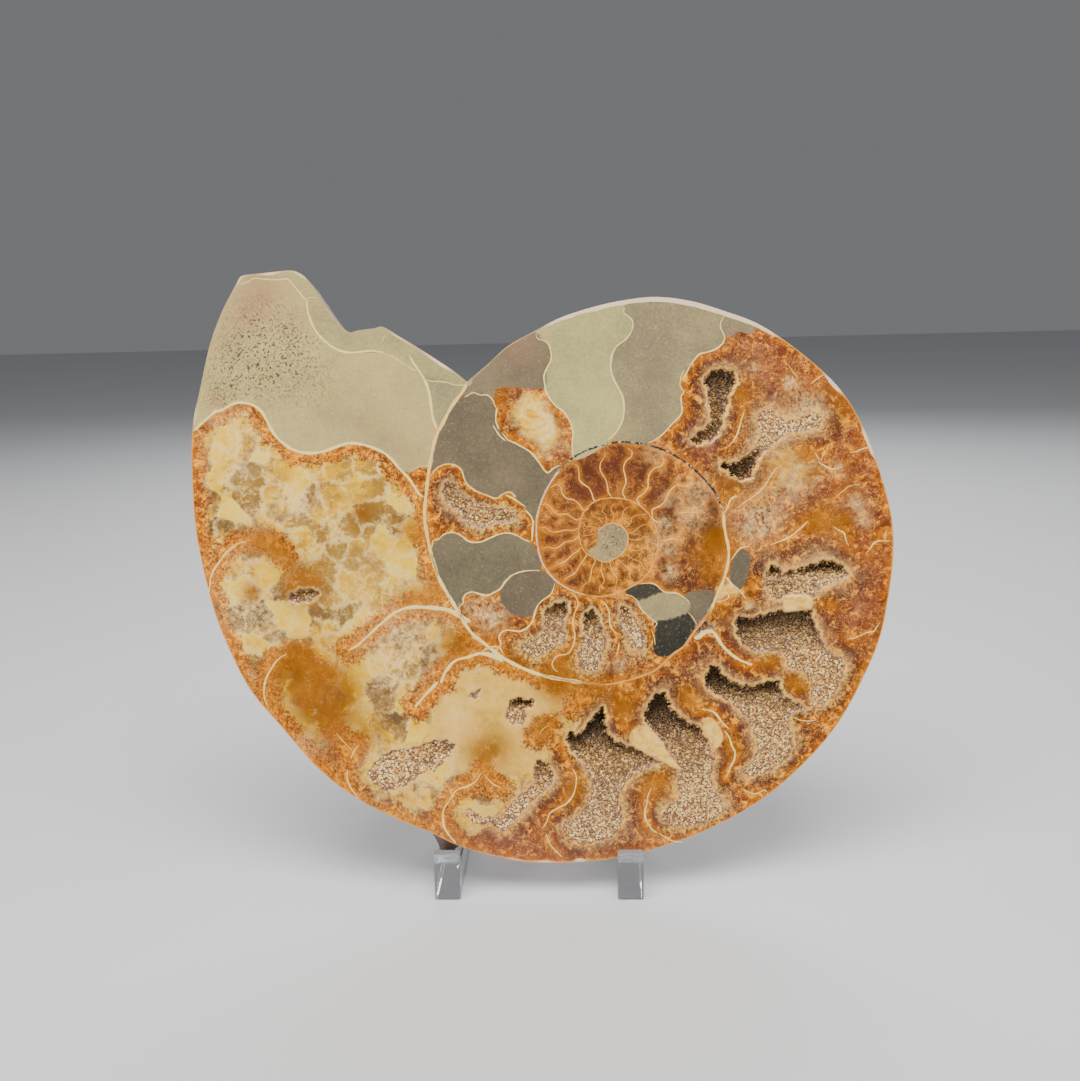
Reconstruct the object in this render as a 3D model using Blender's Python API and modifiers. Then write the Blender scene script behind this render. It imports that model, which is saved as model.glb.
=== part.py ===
"""Sawn half of an ammonite, leaning on a clear easel: metres, +Z up, polished face towards -Y."""
import math
import random

import bmesh
import bpy
import numpy as np
from mathutils import Vector
from mathutils.geometry import delaunay_2d_cdt

MM = 0.001

# Driving dimensions, in millimetres and degrees
MM_PER_PIXEL = 0.27        # scale of the face outlines below
FACE_CENTRE_PX = (606.0, 540.0)
PHOTO_ROLL = math.radians(-1.32)
LEAN = 13.0                # the stone leans back by this much
WHORL_GROWTH = 2.14        # radius gained in one whole turn
THICKNESS_BASE = 8.0       # half thickness of the shell = base + slope * rim radius
THICKNESS_SLOPE = 0.11
EDGE_THICKNESS = 2.4       # side wall left standing all round the sawn face
UMBILICUS = 0.24           # umbilical edge as a share of the rim radius
SHOULDER = 0.42            # where the flank is thickest, same share
RIB_COUNT = 24
RIB_HEIGHT = 0.6
HEEL_U = -45.0             # place and size of the lump that stands on the left seat
HEEL_DROP = 6.0
HEEL_REACH = 5.2
PIT_DEPTH = 5.6
CRUST_GAP = 0.35           # between a crust and the floor of its pit
CRUST_INSET = 0.9          # and between it and the walls
CRUST_VALLEY = 1.6
CRYSTAL_SIDE = 2.3         # side of the six-sided foot of one crystal
CRYSTAL_HEIGHT = 2.6

# The clear easel
FOOT_SPACING = 49.3
FRAME_WIDTH = 7.0
LIP_THICKNESS = 3.3
LIP_HEIGHT = 13.4
SEAT_HEIGHT = 9.5
UPRIGHT_Y = 24.6           # where the upright leaves the seat
UPRIGHT_THICKNESS = 8.0
UPRIGHT_TOP = 112.0
FRONT_FOOT_Y = 36.0
REAR_FOOT_Y = (84.0, 93.0)
GAP_TOP = 80.0             # top of the space between upright and rear leg
LEG_JOIN = 98.0            # where the rear leg leaves the back of the upright
BAR_SIZE = 7.0
CLEARANCE = 0.3
STAND_YAW = -2.4           # the easel is turned this much under the stone
STONE_SHIFT_X = 20.3       # spiral centre, right of the easel's middle
FACE_FOOT_Y = 3.4          # the face plane at seat height, behind the front of the feet

# Rim of the sawn face, clockwise from the notch behind the mouth, in pixels
RIM_PX = [
    (467, 382), (488, 364), (508, 346), (533, 332), (560, 318), (590, 308), (620, 301), (655, 297),
    (690, 301), (724, 311), (760, 325), (800, 352), (838, 387), (862, 425), (881, 475), (892, 520),
    (893, 560), (887, 605), (879, 640), (863, 678), (840, 720), (810, 757), (765, 797), (715, 826),
    (670, 844), (620, 857), (574, 862), (530, 862), (500, 857), (460, 846), (430, 832), (400, 820),
    (360, 800), (320, 770), (280, 725), (248, 686), (222, 632), (208, 588), (196, 530), (192, 470),
    (193, 425), (200, 390), (210, 345), (222, 312), (240, 277),
]
# Broken edge of the mouth, from the outer corner back to the notch
MOUTH_PX = [
    (258, 273), (290, 271), (306, 276), (317, 292), (330, 312), (347, 332), (357, 330), (375, 328),
    (388, 330), (420, 349), (455, 373),
]
# Hollows of the sawn face, each lined by its own crust of crystals
HOLLOWS_PX = {
    "crystals_upper": [(703, 381), (718, 369), (735, 376), (731, 396), (723, 420), (717, 440),
                       (699, 446), (691, 439), (705, 424), (709, 402)],
    "crystals_right_shoulder": [(720, 456), (736, 444), (757, 446), (763, 459), (748, 478), (723, 481)],
    "crystals_right": [(765, 578), (778, 562), (806, 566), (832, 556), (845, 573), (822, 588), (790, 591)],
    "crystals_right_pocket": [(735, 619), (760, 610), (800, 616), (815, 634), (800, 655), (765, 660), (742, 646)],
    "crystals_lower_right": [(706, 680), (716, 668), (736, 684), (764, 684), (800, 673), (838, 669),
                             (828, 700), (792, 735), (757, 768), (742, 750), (736, 716)],
    "crystals_bottom_right": [(646, 717), (651, 704), (669, 701), (686, 721), (710, 745), (714, 796),
                              (692, 806), (674, 800), (678, 774), (665, 752)],
    "crystals_bottom": [(600, 709), (606, 726), (642, 757), (634, 798), (613, 822), (574, 822),
                        (590, 799), (597, 770), (584, 735)],
    "crystals_bottom_left": [(505, 777), (528, 762), (552, 776), (545, 804), (525, 822), (509, 812)],
    "crystals_lower_left": [(368, 770), (391, 753), (425, 743), (455, 746), (440, 765), (410, 787), (380, 789)],
    "crystals_inner_window": [(433, 478), (455, 471), (470, 490), (500, 500), (524, 512), (530, 534),
                              (500, 531), (470, 539), (450, 530), (435, 537)],
}

PALETTE = {
    "stone": ((0.42, 0.26, 0.13, 1.0), 0.25, 0.0),
    "druse": ((0.62, 0.48, 0.33, 1.0), 0.20, 0.0),
    "clear": ((0.95, 0.97, 0.98, 1.0), 0.04, 1.0),
}


def clear_scene():
    for obj in list(bpy.data.objects):
        bpy.data.objects.remove(obj, do_unlink=True)


def make_material(name, look):
    colour, roughness, transmission = PALETTE[look]
    material = bpy.data.materials.new(name)
    material.use_nodes = True
    shader = material.node_tree.nodes["Principled BSDF"]
    shader.inputs["Base Color"].default_value = colour
    shader.inputs["Roughness"].default_value = roughness
    shader.inputs["Metallic"].default_value = 0.0
    shader.inputs["Transmission Weight"].default_value = transmission
    shader.inputs["IOR"].default_value = 1.49
    return material


def add_object(name, mesh, collection, look):
    obj = bpy.data.objects.new(name, mesh)
    collection.objects.link(obj)
    mesh.materials.append(make_material(name, look))
    return obj


def face_mm(points):
    """Pixels to millimetres on the sawn face: u to the right, v up, from the spiral's centre."""
    points = np.asarray(points, dtype=float)
    dx = points[:, 0] - FACE_CENTRE_PX[0]
    dy = points[:, 1] - FACE_CENTRE_PX[1]
    turn = math.sin(PHOTO_ROLL)
    return np.stack([MM_PER_PIXEL * (dx + turn * dy), -MM_PER_PIXEL * (dy - turn * dx)], axis=1)


def smooth_open_curve(points, steps):
    """Catmull-Rom curve through the points, each span cut into equal steps."""
    ends = np.vstack([2 * points[0] - points[1], points, 2 * points[-1] - points[-2]])
    t = (np.arange(steps) / steps)[:, None]
    spans = []
    for a, b, c, d in zip(ends[:-3], ends[1:-2], ends[2:-1], ends[3:]):
        spans.append(0.5 * (2 * b + (c - a) * t + (2 * a - 5 * b + 4 * c - d) * t**2
                            + (3 * b - a - 3 * c + d) * t**3))
    return np.vstack(spans + [points[-1:]])


def subdivided(points, spacing):
    """The closed polygon with extra points, so that no side is longer than the spacing."""
    out = []
    for a, b in zip(points, np.roll(points, -1, axis=0)):
        count = max(1, int(math.ceil(np.linalg.norm(b - a) / spacing)))
        for i in range(count):
            out.append(a + (b - a) * i / count)
    return np.array(out)


def outward_normals(polygon):
    """Mitred outward direction at each corner: moving along it by d moves both sides by d."""
    along = np.roll(polygon, -1, axis=0) - polygon
    along /= np.linalg.norm(along, axis=1)[:, None]
    side = np.stack([along[:, 1], -along[:, 0]], axis=1) * np.sign(signed_area(polygon))
    both = side + np.roll(side, 1, axis=0)
    both /= np.linalg.norm(both, axis=1)[:, None]
    return both / np.maximum(np.sum(both * side, axis=1), 0.4)[:, None]


def signed_area(polygon):
    nxt = np.roll(polygon, -1, axis=0)
    return 0.5 * float(np.sum(polygon[:, 0] * nxt[:, 1] - polygon[:, 1] * nxt[:, 0]))


def inside(points, polygon):
    """Even-odd test of many points against a closed polygon."""
    result = np.zeros(len(points), dtype=bool)
    for a, b in zip(polygon, np.roll(polygon, -1, axis=0)):
        crosses = (a[1] > points[:, 1]) != (b[1] > points[:, 1])
        rise = b[1] - a[1] if abs(b[1] - a[1]) > 1e-12 else 1e-12
        at = a[0] + (points[:, 1] - a[1]) * (b[0] - a[0]) / rise
        result ^= crosses & (points[:, 0] < at)
    return result


def edge_distance(points, polygon):
    """Distance from each point to the nearest side of the polygon."""
    best = np.full(len(points), 1e9)
    for a, b in zip(polygon, np.roll(polygon, -1, axis=0)):
        side = b - a
        share = np.clip(((points - a) @ side) / (side @ side), 0.0, 1.0)
        best = np.minimum(best, np.linalg.norm(points - (a + share[:, None] * side), axis=1))
    return best


def smoothstep(low, high, x):
    t = np.clip((x - low) / (high - low), 0.0, 1.0)
    return t * t * (3 - 2 * t)


RIM = smooth_open_curve(face_mm(RIM_PX), 3)
MOUTH = face_mm(MOUTH_PX)
OUTLINE = subdivided(np.vstack([RIM, MOUTH])[::-1], 4.0)
RIM_ANGLE = np.degrees(np.unwrap(np.arctan2(RIM[:, 1], RIM[:, 0])))[::-1]
RIM_RADIUS = np.hypot(RIM[:, 0], RIM[:, 1])[::-1]
MOUTH_ANGLE = RIM_ANGLE[-1]


def rim_radius(angle):
    """Rim radius at an angle in degrees; past the notch it goes on as a log spiral."""
    inner = np.interp(angle, RIM_ANGLE, RIM_RADIUS)
    fade = WHORL_GROWTH ** (-(np.maximum(angle - MOUTH_ANGLE, 0.0)) / 360.0)
    return inner * fade


def flank(share):
    """Height of the flank, 0 to 1, over the distance from the axis as a share of the rim radius."""
    outer = np.clip((share - SHOULDER) / (1.0 - SHOULDER), 0.0, 1.0)
    dome = (1.0 - outer**2.3) ** 0.62
    inner = np.clip((SHOULDER - share) / (SHOULDER - UMBILICUS), 0.0, 1.5)
    return np.where(share > SHOULDER, dome, 1.0 - 0.10 * inner**2)


def whorl_height(radius, angle, rim):
    """One whorl: flank profile, falling ribs on the outer half, and the umbilical wall inside."""
    share = radius / rim
    height = (THICKNESS_BASE + THICKNESS_SLOPE * rim) * flank(share)
    sweep = angle + 16.0 * np.sin(math.pi * np.clip(share, 0, 1) * 1.3)
    ribs = RIB_HEIGHT * np.cos(np.radians(sweep) * RIB_COUNT)
    return height + ribs * smoothstep(0.45, 0.75, share) * (1 - smoothstep(0.93, 1.0, share))


def back_height(points):
    """Depth of the natural outside behind the sawn face, whorl inside whorl."""
    radius = np.hypot(points[:, 0], points[:, 1])
    angle = np.degrees(np.arctan2(points[:, 1], points[:, 0]))
    late = np.where(angle > 0, angle - 360.0, angle)
    near_mouth = smoothstep(MOUTH_ANGLE - 9.0, MOUTH_ANGLE + 3.0, angle)
    near_mouth = np.where((radius > RIM_RADIUS[-1]) & (angle > MOUTH_ANGLE - 0.5), 1.0, near_mouth)
    early_rim = rim_radius(angle)
    late_rim = rim_radius(np.maximum(late, RIM_ANGLE[0]))
    height = nested_whorls(radius, angle, early_rim) * (1 - near_mouth)
    height += nested_whorls(radius, late, late_rim) * near_mouth
    lumps = 0.35 * np.sin(points[:, 0] * 0.11 + 1.0) * np.cos(points[:, 1] * 0.13)
    scar = smoothstep(0.2, 0.5, np.sin(points[:, 0] * 0.045 + 0.6) * np.cos(points[:, 1] * 0.06 - 0.4))
    return height + lumps - 0.8 * scar * smoothstep(30.0, 45.0, radius)


def nested_whorls(radius, angle, rim):
    height = whorl_height(radius, angle, rim)
    for turn in (1, 2):
        inner_rim = rim / WHORL_GROWTH**turn
        edge = UMBILICUS * rim / WHORL_GROWTH**(turn - 1)
        inner = whorl_height(radius, angle + 9.0 * turn, inner_rim) - 0.8 * turn
        outside = smoothstep(edge - 1.3, edge + 1.3, radius)
        height = height * outside + inner * (1 - outside)
    return height


def spiral_points():
    """Points that follow the whorls, close enough together to carry the ribs."""
    rows = [(0, (0.20, 0.265, 0.31, 0.365, 0.43, 0.50, 0.57, 0.64, 0.71, 0.78, 0.84, 0.90, 0.95, 0.98), 3.75),
            (1, (0.215, 0.27, 0.33, 0.40, 0.47), 9.0),
            (2, (0.0, 0.12, 0.25, 0.34, 0.43), 20.0)]
    points = []
    for turn, shares, step in rows:
        for row, share in enumerate(shares):
            angles = np.arange(MOUTH_ANGLE - 360.0 + 12.0, MOUTH_ANGLE + 12.0, step) + (row % 2) * step / 2
            wrapped = np.where(angles > MOUTH_ANGLE, angles - 360.0, angles)
            radius = share * rim_radius(np.maximum(wrapped, RIM_ANGLE[0])) / WHORL_GROWTH**turn
            ring = np.stack([radius * np.cos(np.radians(angles)), radius * np.sin(np.radians(angles))], axis=1)
            points.append(ring[:1] if share == 0.0 else ring)
    points = np.vstack(points)
    keep = inside(points, OUTLINE)
    keep &= edge_distance(points, OUTLINE) > 1.1
    points = points[keep]
    spaced = []
    for point in points:
        if not spaced or np.min(np.linalg.norm(np.array(spaced) - point, axis=1)) > 1.15:
            spaced.append(point)
    return np.array(spaced)


def plate_mesh(name, outline, low_outline, inner_points, top, bottom):
    """Closed solid: flat cap on one side, a relief over inner points on the other, walls between.

    top and bottom give the height of the relief and of the flat side for an array of points.
    """
    count = len(outline)
    everything = np.vstack([outline, inner_points])
    sides = [(i, (i + 1) % count) for i in range(count)]
    flat = [Vector(point) for point in everything]
    result = delaunay_2d_cdt(flat, sides, [list(range(count))], 1, 1e-6)
    coords, triangles, source = np.array(result[0]), result[2], result[3]
    places = coords.copy()
    for new, old in enumerate(source):
        if old and old[0] < count:
            places[new] = low_outline[old[0]]
    mesh = bpy.data.meshes.new(name)
    bm = bmesh.new()
    relief = top(coords)
    upper = [bm.verts.new((p[0] * MM, p[1] * MM, z * MM)) for p, z in zip(places, relief)]
    level = bottom(outline)
    lower = [bm.verts.new((p[0] * MM, p[1] * MM, z * MM)) for p, z in zip(outline, level)]
    for triangle in triangles:
        bm.faces.new([upper[i] for i in triangle])
    ring = {old[0]: new for new, old in enumerate(source) if old and old[0] < count}
    for a, b in sides:
        bm.faces.new([upper[ring[a]], upper[ring[b]], lower[b], lower[a]])
    bm.faces.new(lower)
    bmesh.ops.triangulate(bm, faces=bm.faces[:])
    bmesh.ops.recalc_face_normals(bm, faces=bm.faces[:])
    bm.to_mesh(mesh)
    bm.free()
    return mesh


def flat_block(name, outline, depth_range, collection):
    """A flat outline as a 2D curve with an extrude, turned into a welded mesh."""
    low, high = depth_range
    curve = bpy.data.curves.new(name, "CURVE")
    curve.dimensions = "2D"
    curve.fill_mode = "BOTH"
    curve.extrude = (high - low) / 2 * MM
    spline = curve.splines.new("POLY")
    spline.points.add(len(outline) - 1)
    for knot, point in zip(spline.points, outline):
        knot.co = (point[0] * MM, point[1] * MM, 0.0, 1.0)
    spline.use_cyclic_u = True
    holder = bpy.data.objects.new(name + "_curve", curve)
    collection.objects.link(holder)
    graph = bpy.context.evaluated_depsgraph_get()
    mesh = bpy.data.meshes.new_from_object(holder.evaluated_get(graph))
    bpy.data.objects.remove(holder, do_unlink=True)
    mesh.name = name
    bm = bmesh.new()
    bm.from_mesh(mesh)
    bmesh.ops.remove_doubles(bm, verts=bm.verts[:], dist=1e-6)
    bmesh.ops.translate(bm, verts=bm.verts[:], vec=(0, 0, (high + low) / 2 * MM))
    bmesh.ops.recalc_face_normals(bm, faces=bm.faces[:])
    bm.to_mesh(mesh)
    bm.free()
    return mesh


def build_stone(collection, cutters, holder):
    """The fossil half: natural outside, broken mouth, sawn face and its open chambers."""
    heel = np.exp(-((OUTLINE[:, 0] - HEEL_U) / HEEL_REACH) ** 2) * (OUTLINE[:, 1] < -60)
    back_outline = OUTLINE + outward_normals(OUTLINE) * (HEEL_DROP * heel)[:, None]
    mesh = plate_mesh(
        "ammonite_half", OUTLINE, back_outline, spiral_points(),
        lambda p: -np.maximum(back_height(p), EDGE_THICKNESS),
        lambda p: np.zeros(len(p)))
    stone = add_object("ammonite_half", mesh, collection, "stone")
    stone.parent = holder
    for name, pixels in HOLLOWS_PX.items():
        block = flat_block("cut_" + name, face_mm(pixels), (-PIT_DEPTH, 3.0), cutters)
        cutter = bpy.data.objects.new("cut_" + name, block)
        cutters.objects.link(cutter)
        cutter.parent = holder
        cutter.hide_render = True
        cutter.display_type = "WIRE"
        cut = stone.modifiers.new("hollow " + name, "BOOLEAN")
        cut.operation = "DIFFERENCE"
        cut.solver = "EXACT"
        cut.object = cutter
    return stone


def crystal_lattice(outline, rng):
    """Jittered hexagons inside the outline: their corners are valleys, their middles are tips."""
    low = outline.min(axis=0)
    high = outline.max(axis=0)
    step = CRYSTAL_SIDE * math.sqrt(3.0)
    points = []
    tips = []
    rows = int((high[1] - low[1]) / (CRYSTAL_SIDE * 1.5)) + 2
    columns = int((high[0] - low[0]) / step) + 2
    corners = {}
    for row in range(rows):
        for column in range(columns):
            x = low[0] + (column + 0.5 * (row % 2)) * step
            y = low[1] + row * CRYSTAL_SIDE * 1.5
            points.append((x + rng.uniform(-0.5, 0.5), y + rng.uniform(-0.5, 0.5)))
            tips.append(rng.uniform(0.55, 1.0))
            for side in range(6):
                a = math.radians(60 * side + 30)
                key = (round(x + CRYSTAL_SIDE * math.cos(a), 2), round(y + CRYSTAL_SIDE * math.sin(a), 2))
                corners[key] = True
    for key in sorted(corners):
        points.append((key[0] + rng.uniform(-0.3, 0.3), key[1] + rng.uniform(-0.3, 0.3)))
        tips.append(rng.uniform(0.0, 0.12))
    points = np.array(points)
    keep = inside(points, outline) & (edge_distance(points, outline) > 0.7)
    return points[keep], np.array(tips)[keep]


def build_crusts(collection, holder):
    """One crust of six-sided crystals on the floor of each hollow."""
    for index, (name, pixels) in enumerate(HOLLOWS_PX.items()):
        rng = random.Random(40 + index)
        polygon = face_mm(pixels)
        if signed_area(polygon) < 0:
            polygon = polygon[::-1]
        polygon = polygon - outward_normals(polygon) * CRUST_INSET
        polygon = subdivided(polygon, 3.0)
        points, tips = crystal_lattice(polygon, rng)
        floor = -PIT_DEPTH + CRUST_GAP

        def relief(places, points=points, tips=tips, floor=floor):
            gap = np.linalg.norm(places[:, None, :] - points[None, :, :], axis=2)
            nearest = np.argmin(gap, axis=1)
            here = np.where(gap[np.arange(len(places)), nearest] < 1e-3, tips[nearest], 0.25)
            return floor + CRUST_VALLEY + CRYSTAL_HEIGHT * here

        mesh = plate_mesh(name, polygon, polygon, points, relief,
                          lambda p, floor=floor: np.full(len(p), floor))
        crust = add_object(name, mesh, collection, "druse")
        crust.parent = holder


def upright_y(height):
    """Front of the upright at a height: it leans back with the stone."""
    return UPRIGHT_Y + (height - SEAT_HEIGHT) * math.tan(math.radians(LEAN))


def frame_outline():
    """Side view of one easel frame, y to the back and z up."""
    deep = UPRIGHT_THICKNESS / math.cos(math.radians(LEAN))
    return [
        (0.0, 0.0), (FRONT_FOOT_Y, 0.0), (upright_y(SEAT_HEIGHT) + deep + 3.0, 6.0),
        (upright_y(GAP_TOP) + deep, GAP_TOP), (upright_y(GAP_TOP) + deep + 3.0, GAP_TOP),
        (REAR_FOOT_Y[0], 0.0), (REAR_FOOT_Y[1], 0.0),
        (upright_y(LEG_JOIN) + deep, LEG_JOIN), (upright_y(UPRIGHT_TOP) + deep, UPRIGHT_TOP),
        (upright_y(UPRIGHT_TOP), UPRIGHT_TOP), (UPRIGHT_Y, SEAT_HEIGHT),
        (LIP_THICKNESS, SEAT_HEIGHT), (LIP_THICKNESS, LIP_HEIGHT), (0.0, LIP_HEIGHT),
    ]


def soften(obj, width):
    bevel = obj.modifiers.new("soft edges", "BEVEL")
    bevel.width = width * MM
    bevel.segments = 2
    bevel.limit_method = "ANGLE"
    bevel.angle_limit = math.radians(40)
    bevel.use_clamp_overlap = True


def build_easel(collection, holder):
    """Two side frames and the two bars between them, all of clear plastic."""
    for name, side in (("easel_left", -1), ("easel_right", 1)):
        mesh = flat_block(name, frame_outline(), (-FRAME_WIDTH / 2, FRAME_WIDTH / 2), collection)
        frame = add_object(name, mesh, collection, "clear")
        frame.rotation_euler = (math.radians(90), 0.0, math.radians(90))
        frame.location = (side * FOOT_SPACING / 2 * MM, 0.0, 0.0)
        frame.parent = holder
        soften(frame, 0.6)
    length = FOOT_SPACING - FRAME_WIDTH - 2 * CLEARANCE
    half = BAR_SIZE / 2
    upper_z = UPRIGHT_TOP - 14.0
    lower_z = 10.0
    leg_slope = (REAR_FOOT_Y[0] + REAR_FOOT_Y[1]) / 2 - upright_y(GAP_TOP) - UPRIGHT_THICKNESS
    lower_y = (REAR_FOOT_Y[0] + REAR_FOOT_Y[1]) / 2 - leg_slope * lower_z / GAP_TOP
    places = {"easel_bar_upper": (upright_y(upper_z) + 1.2 + half, upper_z), "easel_bar_lower": (lower_y, lower_z)}
    for name, (y, z) in places.items():
        bm = bmesh.new()
        bmesh.ops.create_cube(bm, size=1.0)
        bmesh.ops.scale(bm, vec=(length * MM, BAR_SIZE * MM, BAR_SIZE * MM), verts=bm.verts[:])
        mesh = bpy.data.meshes.new(name)
        bm.to_mesh(mesh)
        bm.free()
        bar = add_object(name, mesh, collection, "clear")
        bar.location = (0.0, y * MM, z * MM)
        bar.parent = holder
        soften(bar, 0.6)


def seat_clearance(stone, seat_z):
    """How far the stone must rise so that its lowest points stand on the two seats."""
    lowest = 1e9
    matrix = stone.matrix_world
    for vertex in stone.data.vertices:
        place = matrix @ vertex.co
        for side in (-1, 1):
            if abs(place.x - side * FOOT_SPACING / 2 * MM) < FRAME_WIDTH / 2 * MM:
                lowest = min(lowest, place.z)
    return seat_z - lowest


def overall_box(collection):
    graph = bpy.context.evaluated_depsgraph_get()
    low = Vector((1e9, 1e9, 1e9))
    high = Vector((-1e9, -1e9, -1e9))
    for obj in collection.objects:
        if obj.type != "MESH":
            continue
        evaluated = obj.evaluated_get(graph)
        for vertex in evaluated.data.vertices:
            place = evaluated.matrix_world @ vertex.co
            low = Vector(map(min, low, place))
            high = Vector(map(max, high, place))
    return low, high


def main():
    clear_scene()
    collection = bpy.data.collections.new("Ammonite half on easel")
    cutters = bpy.data.collections.new("Cutters")
    bpy.context.scene.collection.children.link(collection)
    bpy.context.scene.collection.children.link(cutters)

    whole = bpy.data.objects.new("whole", None)
    face = bpy.data.objects.new("sawn_face", None)
    stand = bpy.data.objects.new("stand", None)
    for empty in (whole, face, stand):
        collection.objects.link(empty)
    face.parent = whole
    stand.parent = whole
    stand.rotation_euler = (0.0, 0.0, math.radians(STAND_YAW))
    face.rotation_euler = (math.radians(90.0 - LEAN), 0.0, 0.0)
    lowest_v = float(OUTLINE[:, 1].min())
    face.location = (STONE_SHIFT_X * MM, (FACE_FOOT_Y - lowest_v * math.sin(math.radians(LEAN))) * MM, 0.1)

    stone = build_stone(collection, cutters, face)
    build_crusts(collection, face)
    build_easel(collection, stand)
    bpy.context.view_layer.update()
    face.location.z += seat_clearance(stone, (SEAT_HEIGHT + CLEARANCE) * MM)
    bpy.context.view_layer.update()
    low, high = overall_box(collection)
    whole.location = (-(low.x + high.x) / 2, -(low.y + high.y) / 2, -low.z)


main()
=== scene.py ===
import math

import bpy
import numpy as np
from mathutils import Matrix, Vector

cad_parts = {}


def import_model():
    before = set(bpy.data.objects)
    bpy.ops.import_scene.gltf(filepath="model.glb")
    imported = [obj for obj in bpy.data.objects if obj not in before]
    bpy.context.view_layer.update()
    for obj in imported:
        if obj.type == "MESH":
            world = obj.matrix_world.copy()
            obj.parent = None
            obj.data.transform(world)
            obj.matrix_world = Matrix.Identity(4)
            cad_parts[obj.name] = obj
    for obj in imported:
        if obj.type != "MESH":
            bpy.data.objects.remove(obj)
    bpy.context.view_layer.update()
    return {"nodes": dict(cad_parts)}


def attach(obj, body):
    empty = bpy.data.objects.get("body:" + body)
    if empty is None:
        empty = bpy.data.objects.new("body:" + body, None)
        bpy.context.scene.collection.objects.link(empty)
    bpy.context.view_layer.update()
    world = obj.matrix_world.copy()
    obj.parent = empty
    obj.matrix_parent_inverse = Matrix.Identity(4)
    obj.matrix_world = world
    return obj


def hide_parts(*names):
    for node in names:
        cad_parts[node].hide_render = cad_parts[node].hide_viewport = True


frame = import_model()

# %% [markdown]
# # A sawn ammonite on a clear easel
# An ammonite is a coiled shell, divided into chambers by thin walls, the septa. This one was sawn
# in half along its middle and polished. Grey mud filled some chambers before they turned to
# stone; in the others crystals of calcite grew inward from the walls, in bands, and some of
# them are still hollow in the middle, with a crust of fine crystals, the druse.
# Everything that is seen on the sawn face follows from its walls, so the walls are drawn first
# and the bands of colour are worked out from the distance to the nearest wall.

MM = 0.001

# %% [markdown]
# ## From places in the picture to places on the face
# The face leans back as far as the camera looks down, so the two are parallel and one scale
# serves the whole face. The lists of places below are in the picture's own pixels, and one
# function turns them into millimetres on the face: u to the right, v up, measured from the
# middle of the spiral. The face itself is found on the solid: its points are those that lie
# furthest forward along the face's normal.

# %% Face coordinates
MM_PER_PIXEL = 0.27
FACE_CENTRE_PX = (606.0, 540.0)
ROLL = math.radians(-1.32)
LEAN = math.radians(13.0)
NORMAL = np.array([0.0, -math.cos(LEAN), math.sin(LEAN)])
ACROSS = np.array([1.0, 0.0, 0.0])
UPWARD = np.array([0.0, math.sin(LEAN), math.cos(LEAN)])


def face_mm(points):
    """Pixels to face millimetres: shift to the spiral's middle, undo the camera's roll, scale."""
    points = np.asarray(points, dtype=float).reshape(-1, 2)
    dx = points[:, 0] - FACE_CENTRE_PX[0]
    dy = points[:, 1] - FACE_CENTRE_PX[1]
    turn = math.sin(ROLL)
    return np.stack([MM_PER_PIXEL * (dx + turn * dy), -MM_PER_PIXEL * (dy - turn * dx)], axis=1)


def curve(points, step=0.5, closed=False):
    """Catmull-Rom curve through the points: each span is the cubic whose end slopes are half the
    chord between the neighbours. It is cut into steps of about the given length."""
    points = np.asarray(points, dtype=float)
    if closed:
        ends = np.vstack([points[-1:], points, points[:2]])
    else:
        ends = np.vstack([2 * points[0] - points[1], points, 2 * points[-1] - points[-2]])
    spans = []
    for a, b, c, d in zip(ends[:-3], ends[1:-2], ends[2:-1], ends[3:]):
        count = max(1, int(np.linalg.norm(c - b) / step))
        t = (np.arange(count) / count)[:, None]
        spans.append(0.5 * (2 * b + (c - a) * t + (2 * a - 5 * b + 4 * c - d) * t**2
                            + (3 * b - a - 3 * c + d) * t**3))
    return np.vstack(spans if closed else spans + [points[-1:]])


def smoothstep(low, high, x):
    """0 at low, 1 at high and beyond, and 3t^2 - 2t^3 between them; high may be the smaller one."""
    t = np.clip((x - low) / (high - low), 0.0, 1.0)
    return t * t * (3 - 2 * t)


# %% [markdown]
# ## The outline of the half
# The rim is a spiral that grows by a little more than twice in each turn. The mouth was broken
# long ago and its edge runs back to the notch in straight, chipped steps.

# %% Rim and mouth
RIM_PX = [
    (467, 382), (488, 364), (508, 346), (533, 332), (560, 318), (590, 308), (620, 301), (655, 297),
    (690, 301), (724, 311), (760, 325), (800, 352), (838, 387), (862, 425), (881, 475), (892, 520),
    (893, 560), (887, 605), (879, 640), (863, 678), (840, 720), (810, 757), (765, 797), (715, 826),
    (670, 844), (620, 857), (574, 862), (530, 862), (500, 857), (460, 846), (430, 832), (400, 820),
    (360, 800), (320, 770), (280, 725), (248, 686), (222, 632), (208, 588), (196, 530), (192, 470),
    (193, 425), (200, 390), (210, 345), (222, 312), (240, 277),
]
MOUTH_PX = [
    (240, 277), (246, 275), (270, 272.5), (290, 270.5), (300, 273.5), (308, 280), (317, 293), (325, 305),
    (336, 320), (342, 327), (350, 332.5), (358, 330.5), (374, 328.5), (383, 327), (400, 337), (420, 349),
    (440, 362), (455, 372), (467, 382),
]
rim_line = curve(face_mm(RIM_PX), 0.5)
mouth_line = curve(face_mm(MOUTH_PX), 0.5)
outline = np.vstack([rim_line, mouth_line[1:-1]])
print("outline points", len(outline), "size mm", np.ptp(outline, axis=0).round(1))

# %% [markdown]
# The solid's own points give the plane of the face and where the outline sits on it, so every
# piece made here lands on the solid with no fitting.

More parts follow.
